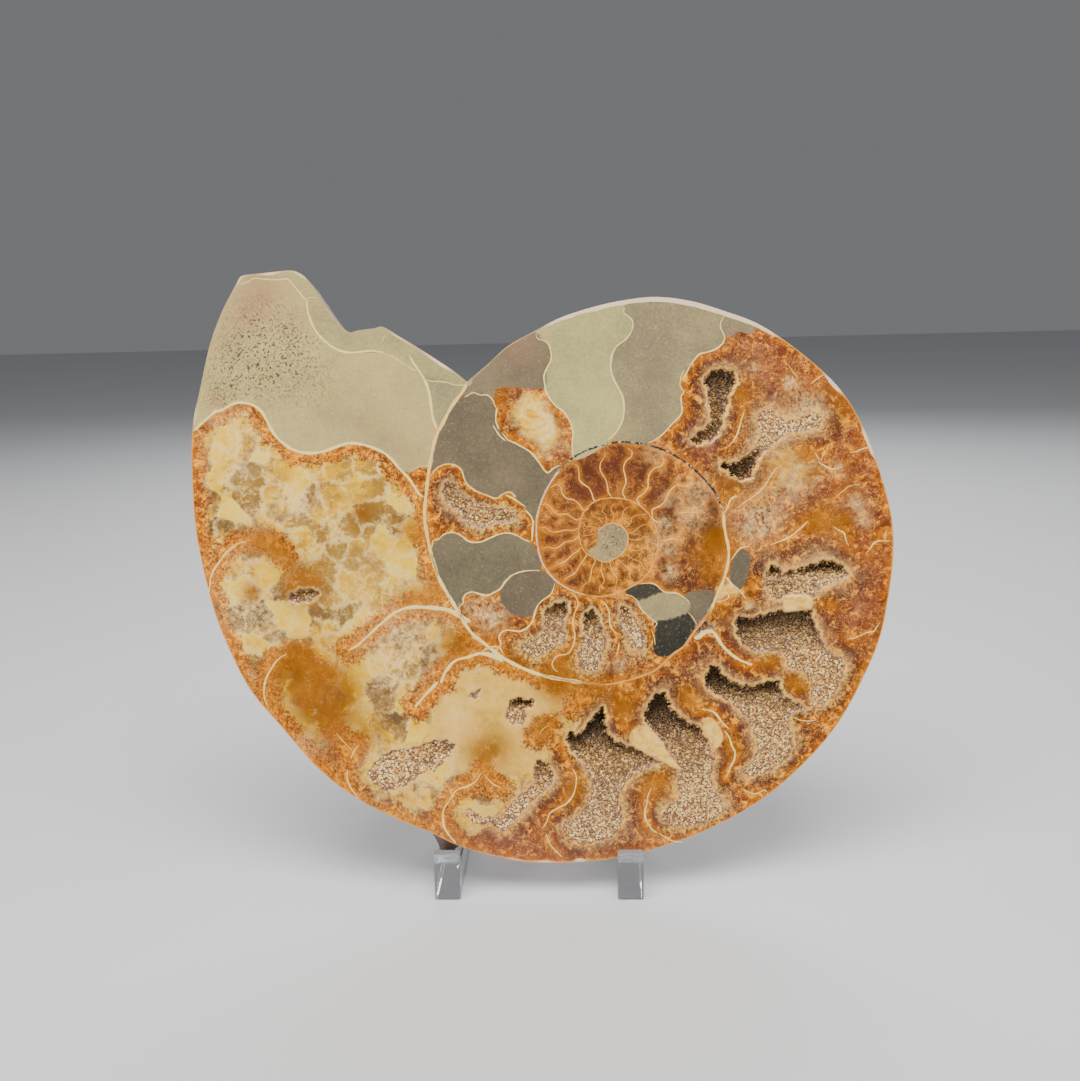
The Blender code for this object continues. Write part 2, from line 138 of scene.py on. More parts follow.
# %% Where the face is
stone_node = frame["nodes"]["ammonite_half"]
stone_co = np.empty(len(stone_node.data.vertices) * 3)
stone_node.data.vertices.foreach_get("co", stone_co)
stone_co = stone_co.reshape(-1, 3)
forward = stone_co @ NORMAL
on_face = stone_co[forward > forward.max() - 0.00002]
ORIGIN = NORMAL * forward.max()
ORIGIN = ORIGIN + ACROSS * ((on_face @ ACROSS).min() - outline[:, 0].min() * MM)
ORIGIN = ORIGIN + UPWARD * ((on_face @ UPWARD).max() - outline[:, 1].max() * MM)
print("spiral centre on the face", ORIGIN.round(5), "thickness of the stone mm",
      round(float(np.ptp(forward)) * 1000, 1))


def world(u, v, w):
    """Face millimetres to metres in the frame; w is the height in front of the face."""
    return (ORIGIN + (np.outer(u, ACROSS) + np.outer(v, UPWARD) + np.outer(w, NORMAL)) * MM)


# %% [markdown]
# ## Camera, light and floor
# The camera stands straight in front of the face and is rolled a little, as in the picture. Light
# comes from a wide soft box above, which leaves the upper edge of each hollow dark, from two
# weaker ones at the sides, and from one behind that lights the outside and the clear stand. The
# floor is plain and pale.

# %% Camera
FOCAL_PX = 1098.0
FRAME_PX = (1080.0, 1081.0)
SENSOR_MM = 36.0
NEAR_CLIP = 0.01
centre_x = (FACE_CENTRE_PX[0] - FRAME_PX[0] / 2) / FOCAL_PX
centre_y = (FACE_CENTRE_PX[1] - FRAME_PX[1] / 2) / FOCAL_PX
view_right = math.cos(ROLL) * centre_x + math.sin(ROLL) * centre_y
view_down = -math.sin(ROLL) * centre_x + math.cos(ROLL) * centre_y
distance = MM_PER_PIXEL * FOCAL_PX * MM
eye = ORIGIN + NORMAL * distance - ACROSS * view_right * distance + UPWARD * view_down * distance
camera_data = bpy.data.cameras.new("camera")
camera_data.lens = SENSOR_MM * FOCAL_PX / max(FRAME_PX)
camera_data.sensor_width = SENSOR_MM
camera_data.clip_start = NEAR_CLIP
camera = bpy.data.objects.new("camera", camera_data)
bpy.context.scene.collection.objects.link(camera)
right = ACROSS * math.cos(ROLL) + UPWARD * math.sin(ROLL)
upright = UPWARD * math.cos(ROLL) - ACROSS * math.sin(ROLL)
rows = [[right[i], upright[i], NORMAL[i], eye[i]] for i in range(3)]
camera.matrix_world = Matrix(rows + [[0, 0, 0, 1]])
bpy.context.scene.camera = camera
print("camera at", eye.round(4))


# %% Lights
TARGET = (0.0, 0.0, 0.08)
SOFT_BOXES = [
    # name, place and size in metres, power in watts, colour
    ("box_above", (-0.05, -0.30, 0.75), (0.7, 0.45), 9.5, (1.0, 0.98, 0.95)),
    ("box_left", (-0.70, -0.45, 0.30), (0.4, 0.5), 3.4, (1.0, 0.98, 0.96)),
    ("box_right", (0.75, -0.35, 0.35), (0.4, 0.5), 3.0, (0.97, 0.98, 1.0)),
    ("box_behind", (0.1, 0.70, 0.60), (0.8, 0.4), 5.0, (1.0, 1.0, 1.0)),
]
SKY_COLOUR = (0.86, 0.88, 0.92, 1.0)
SKY_STRENGTH = 0.20


def soft_box(name, place, size, power, colour):
    """Rectangular light at a place, turned so that it shines at the target."""
    light = bpy.data.lights.new(name, "AREA")
    light.shape = "RECTANGLE"
    light.size, light.size_y = size
    light.energy = power
    light.color = colour
    holder = bpy.data.objects.new(name, light)
    bpy.context.scene.collection.objects.link(holder)
    holder.location = place
    holder.rotation_euler = (Vector(TARGET) - Vector(place)).to_track_quat("-Z", "Y").to_euler()


for box in SOFT_BOXES:
    soft_box(*box)
world_data = bpy.data.worlds.new("studio")
world_data.use_nodes = True
sky = world_data.node_tree.nodes["Background"]
sky.inputs["Color"].default_value = SKY_COLOUR
sky.inputs["Strength"].default_value = SKY_STRENGTH
bpy.context.scene.world = world_data
print("soft boxes", len(SOFT_BOXES), "with", sum(box[3] for box in SOFT_BOXES), "watts together")

# %% Floor
FLOOR_HALF = 3.0
corners = [(-1, -1), (1, -1), (1, 1), (-1, 1)]
floor_mesh = bpy.data.meshes.new("floor")
floor_mesh.from_pydata([(x * FLOOR_HALF, y * FLOOR_HALF, 0) for x, y in corners], [], [(0, 1, 2, 3)])
floor = bpy.data.objects.new("floor", floor_mesh)
bpy.context.scene.collection.objects.link(floor)
print("floor", 2 * FLOOR_HALF, "metres wide")

# %% [markdown]
# ## The walls
# The shell's own wall is one long spiral line. Each septum is a short curve from the outside of
# its whorl to the wall of the whorl before, folded like the edge of a leaf. They were read off
# one by one, because no two fold alike; each has a width in millimetres at its start, middle and
# end. The last group are the orange cores of folds whose wall was dissolved: they are no lines,
# but the bands of colour still run round them.

# %% Spiral wall
WALL_PX = [
    (596, 559), (585, 552), (580, 541), (579, 528), (583, 514), (590, 505), (600, 499.5), (614, 498),
    (628, 500), (641, 506.5), (651, 517), (656.5, 530), (658, 543), (656, 557), (650, 570), (640, 581),
    (627, 589), (612, 594.5), (597, 596.5), (582, 594), (567, 588), (554, 579), (544, 566), (538.5, 551),
    (536.5, 535), (537, 518), (541, 502), (548, 487), (558, 472), (570, 460), (585, 451), (600, 446),
    (618, 442), (635, 443), (652, 446), (668, 452), (682, 460), (690, 466), (697, 472), (704, 479),
    (711, 487), (716, 494), (720, 503), (723.5, 514), (724, 524), (726, 536), (728.5, 548), (728.5, 560),
    (726, 572), (722, 584), (716, 597), (712, 607), (703, 621), (694, 632), (684, 646), (672, 655),
    (657, 669), (643, 675.5), (625, 681), (605, 684.5), (583, 682.5), (560, 679), (541, 675), (520, 667),
    (502, 657), (485, 644), (470, 631), (456, 608), (446, 591), (438, 576), (431, 553), (427, 534),
    (424.5, 515), (427, 486), (429.5, 467), (435, 440), (443, 423), (452, 406), (463, 391), (467, 383),
]
# Stretches of that wall: first and last index into the list above, width at start and end, tone
WALL_STRETCHES = [
    (0, 19, 0.18, 0.24, 0.50), (18, 29, 0.24, 0.34, 0.30), (28, 43, 0.34, 0.44, 0.13),
    (42, 52, 0.50, 0.50, 0.85), (51, 60, 0.45, 0.30, 0.45), (59, 62, 0.30, 0.40, 0.50),
    (60, 70, 0.62, 0.60, 0.95), (69, 79, 0.55, 0.60, 0.80),
]

# %% Septa
SEPTA = [
    # big septa of the last whorl: width at start, middle and end, tone, points
    (.45, .55, .45, 1.0, [(194, 431), (200, 425), (208, 418), (215, 412), (222, 410), (232, 404.5),
     (240, 402.5), (250, 404), (258, 408), (264, 415), (269, 425), (275, 435), (283, 443), (292, 449),
     (302, 452.5), (315, 453), (325, 451), (335, 447.5), (345, 444), (356, 443.5), (371, 447), (387, 455),
     (400, 469), (410, 480), (419, 494), (423, 497)]),
    (.15, .20, .20, .9, [(240, 284.5), (248, 282), (255, 278.5), (275, 280), (285, 279), (289, 280),
     (296, 288), (303, 297), (307, 300)]),
    (.28, .40, .30, .95, [(307, 300), (308, 312), (312, 324), (318, 334), (326, 342), (335, 348.5),
     (345, 352), (355, 352.5), (370, 351), (384, 352.5)]),
    (.10, .14, .10, .8, [(409, 472), (415, 468), (424, 466), (431, 465)]),
    (.15, .15, .12, .9, [(384, 354), (395, 358), (405, 365), (416, 371)]),
    (.25, .50, .40, 1.0, [(409, 355), (413, 362), (419, 371), (425, 381), (429, 392), (431, 405),
     (433, 418), (437, 429)]),
    (.10, .12, .10, .8, [(307, 298), (317, 297)]),
    (.10, .14, .10, .8, [(382, 342), (385, 335)]),
    (.14, .20, .14, .9, [(421, 378), (430, 381), (445, 382), (455, 385), (465, 385)]),
    (.90, .55, .30, .98, [(470, 622), (460, 616), (448, 610), (429, 607.5), (410, 607.5), (396, 612),
     (383, 622), (371, 633), (358, 645), (348, 650.5)]),
    (.95, .42, .55, 1.0, [(503, 661), (493, 656), (480, 653.5), (468, 657), (455, 661), (446, 671),
     (441, 683)]),
    (.55, .50, .40, 1.0, [(438, 682), (428, 692), (415, 707)]),
    (.15, .22, .15, .8, [(444, 606), (450, 599), (446, 596)]),
    (.16, .18, .14, .6, [(471, 637), (477, 640), (482, 640)]),
    (.16, .30, .16, .9, [(481, 652), (486, 649), (492, 647), (499, 647), (503, 653)]),
    # hooks along the rim, left to right
    (.12, .35, .20, .95, [(247, 541.5), (240, 543), (233, 547), (226, 553), (221, 560), (215, 568),
     (211, 577), (210, 586), (209, 592)]),
    (.12, .35, .15, .95, [(287, 654), (281, 657), (275, 663), (270, 671), (266, 679), (264, 690),
     (265, 700), (268, 706)]),
    (.12, .25, .15, .9, [(359, 745), (354, 751), (351, 759)]),
    (.15, .28, .15, .9, [(348, 769), (347, 776), (349, 784), (353, 791), (358, 798)]),
    (.08, .12, .08, .8, [(336, 733), (345, 743), (352, 750)]),
    (.15, .38, .20, 1.0, [(449, 801), (444, 809), (443, 818), (444, 826), (449, 835), (456, 843)]),
    (.10, .30, .15, 1.0, [(481, 773), (476, 781), (468, 786), (457, 790), (449, 801)]),
    (.08, .20, .08, .9, [(484, 774), (490, 781), (495, 785), (502, 788)]),
    (.08, .14, .08, .7, [(549, 725), (543, 729), (540, 733)]),
    (.12, .30, .15, .95, [(572, 768), (576, 775), (576, 785), (573, 795), (567, 803), (558, 808),
     (550, 813), (547, 821), (543, 828)]),
    (.10, .22, .12, .9, [(546, 833), (549, 842), (554, 849), (562, 857)]),
    (.10, .30, .18, .98, [(651, 788), (648, 796), (647, 803), (645, 811), (646, 820), (651, 828),
     (657, 833)]),
    (.12, .22, .12, .9, [(659, 833), (665, 837), (673, 841), (683, 842)]),
    (.10, .38, .20, .98, [(700, 709), (710, 710.5), (716, 714), (722, 722), (729, 729)]),
    (.20, .35, .15, .95, [(724, 730), (729, 737), (732, 746), (735, 752), (734, 760), (730, 768),
     (727, 777)]),
    (.10, .20, .10, .9, [(741, 789), (747, 791), (754, 794), (760, 792), (765, 790), (768, 793)]),
    (.70, .55, .40, 1.0, [(694, 638), (699, 637), (705, 632.5), (712, 631.5), (717, 637), (722, 645),
     (731, 654), (740, 660), (752, 665)]),
    # hooks on the right
    (.12, .20, .15, .9, [(847, 639), (855, 638), (863, 634), (869, 632), (874, 631), (878, 625),
     (880, 622)]),
    (.10, .22, .10, .9, [(794, 717), (800, 720), (808, 721), (816, 720)]),
    (.08, .14, .08, .9, [(828, 721), (835, 717), (841, 717)]),
    (.10, .32, .15, .95, [(770, 545), (778, 542), (788, 538), (795, 533), (803, 526), (808, 521)]),
    (.12, .26, .12, .95, [(833, 526), (838, 530), (844, 533), (846, 541), (849, 546)]),
    (.10, .30, .12, 1.0, [(818, 462), (825, 466), (832, 469), (839, 468), (843, 466)]),
    (.08, .16, .10, .95, [(815, 452), (817, 456), (820, 460)]),
    (.08, .16, .10, .95, [(826, 451), (823, 455), (821, 461)]),
    (.08, .14, .06, .8, [(835, 469), (836, 477)]),
    (.10, .20, .10, .95, [(850, 453), (858, 451), (865, 448), (871, 448)]),
    (.10, .28, .12, .95, [(866, 553), (870, 549), (873, 544), (878, 541), (890, 541)]),
    (.10, .18, .10, .95, [(885, 541), (885, 534), (887, 530)]),
    (.10, .28, .12, .75, [(737, 508), (745, 502), (753, 497), (760, 491), (766, 484), (770, 477),
     (776, 469), (783, 465)]),
    (.10, .30, .12, .95, [(744, 412), (741, 421), (738, 432), (734, 440), (728, 447)]),
    (.08, .14, .08, .8, [(860, 484), (850, 486), (843, 491), (835, 498)]),
    (.06, .12, .06, .8, [(786, 362), (793, 372), (799, 380)]),
    (.08, .20, .08, .9, [(825, 374), (818, 378), (811, 384)]),
    (.40, .22, .15, 1.0, [(737, 496), (731, 499), (728, 506), (725, 512), (722, 514)]),
    (.12, .25, .20, .9, [(750, 546), (741, 548), (736, 553), (731, 560)]),
    (.30, .25, .10, .95, [(726, 577), (732, 584), (740, 591), (746, 599)]),
    (.15, .20, .10, .9, [(714, 602), (722, 601), (729, 597), (725, 590), (722, 585)]),
    # grey chambers at the top
    (.15, .32, .25, .98, [(536, 335), (538, 339), (545, 341), (549, 345), (551, 352), (551, 360),
     (547, 368), (544, 376), (545, 385), (546, 391), (550, 399), (556, 406), (563, 411), (568, 418),
     (572, 426), (573, 435), (572, 445), (573, 455)]),
    (.15, .32, .25, .98, [(625, 308), (623, 312), (628, 316), (632, 320), (633, 326), (630, 334),
     (625, 340), (618, 345), (613, 352), (611, 362), (611, 370), (614, 380), (619, 389), (623, 398),
     (624, 408), (623, 418), (619, 428), (614, 435), (608, 440)]),
    (.12, .32, .20, .98, [(724, 316), (720.5, 323), (721, 329), (724, 335), (724, 341), (720, 346),
     (714, 350), (706, 352.5), (700, 354), (694, 360), (690, 366), (686, 374), (683, 379)]),
    (.12, .28, .20, .95, [(684, 370), (681, 377), (680, 386), (684, 392), (681, 397), (682, 410),
     (680, 416), (672, 424), (664, 433), (655, 440), (648, 443)]),
    (.15, .25, .20, .8, [(464, 397), (467, 396), (473, 392.5), (480, 395), (487, 395), (492, 399),
     (496, 408)]),
    (.30, .25, .30, 1.0, [(497, 408), (496, 415), (496, 422), (499, 429)]),
    (.15, .28, .15, .95, [(493, 425), (497, 432), (501, 437), (506, 441)]),
    (.20, .30, .22, .98, [(503, 434), (508, 440), (515, 443), (522, 447), (529, 451), (535, 457),
     (540, 464), (547, 472.5), (554, 468), (560, 465)]),
    (.10, .15, .10, .8, [(545, 391), (541, 396), (537, 403)]),
    # the window below
    (.20, .30, .25, .75, [(431, 476), (436, 469), (443, 465), (450, 464), (457, 466), (462, 471),
     (464, 478), (468, 485), (476, 491), (486, 495), (496, 498.5), (503, 494), (510, 492), (516, 497)]),
    (.20, .32, .15, 1.0, [(506, 495), (514, 499), (520, 503), (526, 507)]),
    (.20, .35, .25, .98, [(525, 510), (530, 515), (533, 521), (532.5, 531), (532, 541)]),
    (.15, .30, .20, .98, [(432, 548), (433, 541), (439, 539), (443, 535), (450, 532.5), (457, 533.5),
     (463, 537), (468, 541), (474, 542.5), (482, 541.5), (490, 538), (500, 534), (508, 533), (516, 535),
     (523, 539), (530, 542)]),
    (.15, .34, .20, .95, [(540, 570.5), (530, 570.5), (520, 572), (511, 576), (505, 582), (501, 588),
     (495, 592), (487, 595.5), (480, 594), (472, 592), (466, 594), (463, 599), (463.5, 603), (459, 607),
     (461, 612)]),
    (.15, .34, .20, .98, [(555, 583), (553, 590), (550, 595), (543, 600), (538, 605), (535, 612),
     (533, 620), (528, 627), (521, 631), (515, 631), (508, 630), (502, 632), (499, 638), (501, 644),
     (497, 648)]),
    (.15, .26, .18, .8, [(571, 592), (576, 597), (578, 605), (575, 612), (573, 620), (573.5, 628),
     (575, 637), (572, 648), (567, 654), (560, 655), (555, 658), (552, 664), (554, 669), (558, 672)]),
    (.12, .26, .18, .85, [(600, 599.5), (606, 605), (609, 612), (609.5, 620), (610, 625), (613, 630),
     (617, 634)]),
    (.12, .26, .12, .85, [(619, 642), (618, 650), (616, 656)]),
    (.12, .26, .14, .85, [(625, 594), (633, 597), (638, 602), (641, 609), (647, 615), (653, 620),
     (657, 623.5), (653, 629)]),
    (.12, .20, .12, .8, [(651, 630), (654, 636), (655, 645)]),
    (.12, .26, .18, .9, [(640, 584), (650, 583), (656, 585), (663, 591), (669, 593), (676, 593),
     (682, 596), (688, 601), (690, 604)]),
    (.10, .16, .10, .8, [(688, 612), (693, 618), (697, 625)]),
    (.10, .18, .10, .8, [(661, 541), (666, 540), (672, 538.5), (679, 540)]),
    (.14, .22, .14, .9, [(652, 517), (654, 520), (659, 523)]),
    (.12, .20, .12, .8, [(678, 513), (690, 512), (697, 513)]),
    # second whorl, clockwise from the left
    (.10, .20, .14, .6, [(541, 528), (545, 527.5), (549, 530), (553, 532), (559, 531.5), (566, 530),
     (573, 530.5), (579, 527.5)]),
    (.10, .20, .14, .6, [(542, 550), (547, 547), (552, 548), (557, 548), (562, 544.5), (567, 541.5),
     (573, 540.5), (578, 537), (580, 533)]),
    (.10, .22, .16, .65, [(553, 567), (558, 564), (564, 562), (569, 558), (573, 554), (578, 551),
     (581, 547)]),
    (.10, .22, .16, .65, [(564, 580), (569, 576.5), (575, 573), (580, 565), (585, 558), (588, 553)]),
    (.10, .22, .16, .6, [(541, 505), (545, 504), (550, 506), (553, 511), (558, 514.5), (564, 514),
     (569, 515), (573, 518), (577, 520), (582, 517)]),
    (.10, .22, .20, .65, [(550, 488), (555, 485), (558, 484.5), (561, 488), (562, 493), (567, 498.5),
     (574, 500), (579, 504), (582, 509), (585, 510.5), (589, 508)]),
    (.10, .24, .20, .7, [(575, 464), (578, 467), (579, 473), (579.5, 480), (584, 484.5), (589, 488),
     (592, 494), (594, 500), (598, 501)]),
    (.10, .22, .22, .6, [(604, 451), (605, 456), (601, 462), (600, 468), (602, 474), (606, 480),
     (607.5, 487), (608.5, 493), (612, 497)]),
    (.12, .24, .22, .7, [(628, 448), (632, 452), (631, 457), (626, 461), (623.5, 468), (625, 475),
     (626, 482), (624, 488), (622.5, 493), (626, 499)]),
    (.12, .24, .22, .7, [(662, 455), (664, 461), (661, 466), (655, 468), (650, 473), (648, 480),
     (648, 487), (644, 493), (637, 499), (640, 505)]),
    (.12, .24, .22, .7, [(690, 477), (692, 481), (690, 484), (685, 486.5), (678, 485), (672, 488.5),
     (668, 494), (665, 501), (660, 506), (652, 510), (653, 517)]),
    # innermost whorl, clockwise from the bottom left
    (.08, .18, .14, .6, [(580, 591), (584, 585), (589, 581), (591, 575), (592, 568), (595, 562),
     (595.5, 557)]),
    (.08, .18, .14, .6, [(599, 594), (600, 587), (604, 582), (603, 576), (601, 570), (602, 563),
     (601, 559)]),
    (.08, .18, .14, .6, [(615, 592), (616, 585), (617, 578), (613, 573), (611, 567), (609, 561)]),
    (.08, .16, .12, .55, [(638, 582), (634, 583), (630, 578), (630, 571), (626, 567), (621, 562),
     (617, 559)]),
    (.08, .14, .12, .5, [(648, 571), (643, 567), (640, 562), (633, 559), (629, 557), (625, 554)]),
    (.06, .14, .12, .5, [(655, 555), (650, 551), (644, 548.5), (637, 551), (631, 549), (627, 546)]),
    (.06, .14, .12, .5, [(657, 541), (652, 540), (645, 536), (640, 539.5), (634, 540), (628, 539)]),
    (.06, .14, .12, .5, [(655, 527), (650, 526), (645, 524.5), (640, 526.5), (636, 530), (632, 532.5),
     (628, 533)]),
    (.06, .12, .12, .5, [(647, 515), (641, 514.5), (636, 515), (632, 518), (631, 522), (628, 526),
     (624, 527)]),
    (.06, .12, .12, .5, [(635, 507), (628, 507.5), (623.5, 511), (622.5, 516), (620, 520), (618, 523.5)]),
    (.06, .12, .12, .5, [(616, 502), (612, 506), (611, 510), (613.5, 514), (613.5, 518), (612, 523)]),
    (.06, .12, .12, .5, [(606, 503), (603, 508), (602, 511), (605, 514), (606.5, 518), (606, 522)]),
    (.06, .12, .12, .5, [(591, 511), (592, 515), (597, 518), (601, 521), (603, 525)]),
    (.06, .12, .12, .5, [(583, 523), (587, 526.5), (592, 526.5), (597, 528), (600, 530)]),
    (.06, .12, .12, .5, [(581, 535), (588, 535.5), (593, 534), (598, 534)]),
    (.06, .12, .12, .5, [(583, 547), (590, 545), (594, 541), (598, 539)]),
]
# The first chamber's outline
BLOB_PX = [
    (598, 532), (604, 526), (612, 523), (621, 526), (627, 533), (628, 540), (626, 548), (620, 555),
    (612, 560), (604, 562), (595, 558), (588, 551), (597, 545), (598, 538),
]
# Cores of folds that have lost their wall
CORES_PX = [
    [(738, 385), (741, 398), (744, 412)],
    [(624, 690), (624, 708), (626, 727)],
    [(783, 465), (790, 456), (802, 453)],
    [(806, 521), (820, 520), (834, 524)],
    [(573, 708), (582, 697), (590, 688)],
    [(640, 683), (637, 695)],
    [(287, 654), (300, 660), (320, 672)],
    [(247, 541), (262, 540), (275, 545), (283, 556)],
    [(651, 788), (656, 781), (663, 778)],
    [(758, 661), (770, 659)],
    [(789, 683), (803, 684)],
    [(700, 709), (692, 704), (688, 696)],
    [(536, 735), (541, 730)],
    [(745, 598), (752, 588), (760, 578)],
    [(822, 604), (830, 605)],
    [(560, 744), (567, 756), (572, 768)],
]

# %% [markdown]
# ## The hollows
# Each hollow has an outline, a depth at its upper and at its lower end, and a size of crystal.
# Those that the solid model has too name the solid's crust, which the finer druse made here then
# stands for. Crystals fill one end of most of them almost to the polish, so the floor slopes.

# %% Hollows
HOLLOWS = [
    ("crystals_upper", 3.4, 2.4, .58, [(703.8, 380.9), (707.8, 373.7), (718, 368.4), (729.3, 369.7),
     (735.7, 374.5), (736, 384), (730, 393.6), (727.7, 404.8), (723.7, 417.5), (720.5, 430.3), (714, 439),
     (700.6, 443.8), (694.2, 443.8), (691.3, 439), (697.4, 432.7), (707, 426.3), (711.4, 417.5),
     (708.5, 404.8), (708.2, 393.6), (706, 385.7)]),
    ("crystals_right_shoulder", 0.4, 3.4, .55, [(720.5, 463.8), (735.7, 461.9), (745.2, 455.8),
     (754.8, 447.8), (760, 436), (757, 422), (760, 413), (770, 409), (778, 416), (790, 421), (805.8, 415),
     (817, 413), (821.8, 424), (809, 430.3), (791.5, 432.7), (778.7, 439.9), (767.6, 449.4), (758, 459),
     (754.8, 468.6), (750, 478), (738.9, 479), (729.3, 473.4)]),
    ("crystals_right", 3.8, 0.7, .60, [(766, 577.5), (767.5, 571), (773, 564.5), (778.7, 567),
     (783.5, 572), (793, 569.6), (802.6, 567), (815, 563), (828, 560), (841, 564), (848.9, 574.3),
     (836, 582.3), (825, 587), (815.4, 592), (813, 598), (784.3, 598), (775.5, 599.3), (769, 592),
     (766, 585.5)]),
    ("crystals_right_pocket", 3.6, 0.5, .56, [(736.5, 619.8), (742, 616), (750, 618), (761.2, 614.8),
     (775.5, 611.4), (784.3, 609.8), (809, 609), (813, 615), (815.4, 623.8), (820.2, 633.3), (825, 646),
     (833, 654), (842.5, 658.9), (844.9, 670), (839.3, 682.8), (834.5, 694), (823.4, 703.5),
     (813.8, 705.9), (811.4, 697), (812.2, 684.4), (807.4, 674.8), (796.3, 670), (788.3, 666.8),
     (785.9, 658.9), (778.7, 652.5), (767.6, 650.9), (758, 653.3), (751.6, 649.3), (743.6, 644.5),
     (737.3, 635), (735.7, 627)]),
    ("crystals_lower_right", 4.2, 0.4, .56, [(705.4, 678.8), (708.6, 670), (712.5, 665.2), (718, 666.5),
     (723, 674), (729.3, 679.6), (738.9, 683.6), (751.6, 686), (764.4, 682.8), (778.7, 680.4),
     (781, 687.6), (783.5, 694), (793, 701), (801, 705), (806, 709), (793, 713.9), (789, 722.6),
     (792.3, 735.4), (793, 745), (789, 756), (780.3, 764), (767.5, 772), (754.8, 775.2), (743.6, 775.2),
     (742, 772), (750, 764), (755.6, 754.5), (757.2, 745), (754, 733.8), (748.4, 721), (738.9, 709.9),
     (729.3, 701.9), (719.7, 696.3), (710, 690.7), (706, 685.2)]),
    ("crystals_bottom_right", 4.6, 0.4, .56, [(644.8, 717), (647.2, 708.3), (652, 698.7), (657.5, 693.9),
     (663.9, 692.3), (667, 695.5), (670.3, 703.5), (674.3, 710.7), (681.5, 717), (691, 723.4),
     (700.6, 726.6), (703, 733), (707, 738.6), (711, 745.8), (710.2, 753.7), (715, 757.7), (712.5, 768.9),
     (711.7, 781.6), (716.5, 791.2), (722, 802), (724, 810), (716, 818), (701, 824), (680, 827),
     (664, 822), (660, 812), (668, 806), (678, 800), (679.9, 794.4), (676.7, 783.2), (679, 773.6),
     (678.3, 765.7), (668.7, 752.9), (660.7, 740.2), (649.6, 729)]),
    ("crystals_bottom", 4.8, 0.3, .56, [(579, 734.5), (587, 725), (595.8, 713.8), (603, 707.7),
     (605.4, 717), (606.7, 729.7), (613.4, 739.3), (623, 744), (637.3, 749.2), (650, 756.8),
     (660.4, 761.6), (653.2, 766.4), (642, 771.2), (632.5, 776), (624.5, 785.5), (619, 796.7),
     (621.3, 809.4), (623, 819), (616.5, 833.4), (605.4, 839.7), (589.4, 843), (573.5, 841.3),
     (564.7, 833.4), (562.3, 823.8), (573.5, 819), (583, 809.4), (589.4, 798.3), (591, 785.5),
     (587.8, 774.4), (581.5, 761.6), (573.5, 753.6), (567.5, 744), (566, 736.5), (570.7, 731.7)]),
    ("crystals_bottom_left", 1.8, 0.3, .58, [(536, 760), (544.8, 761.6), (552, 768.8), (552.8, 782.3),
     (541.6, 793.5), (528.9, 804.7), (519.3, 815.8), (509.7, 827), (501.7, 831), (490.6, 823.8),
     (477.8, 824.6), (468.3, 819), (465, 809.4), (472.3, 809.4), (482.6, 817.4), (493.8, 815.8),
     (501.7, 818.2), (506.5, 809.4), (516, 798.3), (525.7, 790.3), (534.4, 782.3), (532.8, 773.6),
     (535, 766.4)]),
    ("crystals_lower_left", 1.0, 0.4, .66, [(368, 775), (380, 757), (395, 750), (412, 748), (428, 742),
     (446, 740), (455, 746), (447, 758), (436, 770), (425, 772), (404, 786), (385, 790)]),
    ("crystals_inner_window", 1.4, 0.7, .55, [(444, 484), (452, 482), (460, 492), (470, 500), (485, 506),
     (500, 508), (512, 512), (516, 519), (508, 523), (495, 523), (482, 528), (468, 524), (458, 512),
     (447, 503), (442, 494)]),
    ("pocket_left", 3.0, 0.8, .55, [(506.5, 713.8), (508, 704.2), (516, 697.8), (525.7, 699.4),
     (534.4, 700.2), (533.6, 705.8), (525.7, 710.6), (527.3, 718.6), (519.3, 725), (511.3, 723.3),
     (506.5, 718.6)]),
    ("pocket_small", 1.6, 0.8, .55, [(469, 696.2), (474, 691), (479, 689), (481, 693), (474, 699)]),
    ("chamber_one", 2.6, 0.4, .56, [(545, 612), (552, 605), (566, 602), (568, 612), (564, 625), (566, 640),
     (556, 648), (545, 652), (536, 659), (526, 654), (520, 648), (528, 640), (540, 636), (544, 625)]),
    ("chamber_two", 2.6, 0.3, .56, [(583, 617), (588, 611), (593, 609), (600, 620), (604, 634), (607, 641),
     (603, 655), (598, 668), (590, 673), (580, 668), (578, 655), (583, 640)]),
    ("chamber_three", 1.6, 0.3, .56, [(620, 610), (624, 605), (632, 614), (640, 626), (645, 640),
     (642, 649), (632, 648), (626, 636), (620, 625)]),
    ("wall_slit", 1.6, 1.2, .50, [(697, 632), (700, 626), (705, 621), (710, 624), (714, 628), (711, 630.5),
     (705, 630.5), (700, 635)]),
    ("amber_pit", 2.2, 1.6, .55, [(288, 596), (298, 590), (310, 589), (319, 592), (314, 599), (302, 603),
     (292, 602)]),
]
# Clear-cut patches of pale calcite
PLUGS_PX = [
    [(784.3, 596.7), (797, 594.5), (809, 595.4), (813, 600.7), (810.6, 609.4), (799.4, 611), (785, 611.8)],
    [(632.5, 729.7), (642, 725.5), (651, 730), (659, 739), (666, 750), (674, 761), (681, 769), (672, 767),
     (659.6, 760), (650, 755.2), (635.7, 747.3), (629.3, 739.3)],
    [(703.8, 719.4), (711.7, 717.8), (720, 727.4), (723, 738.6), (716.5, 748), (710, 740), (705.4, 732.2)],
]
print("septa", len(SEPTA), "hollows", len(HOLLOWS))

# %% [markdown]
# ## Grey chambers and patches of colour
# Mud is the same grey-brown through a whole chamber, so each such chamber is an outline and a
# tone. Stains and clear or cloudy spots are round soft patches: a centre, a radius and a strength.

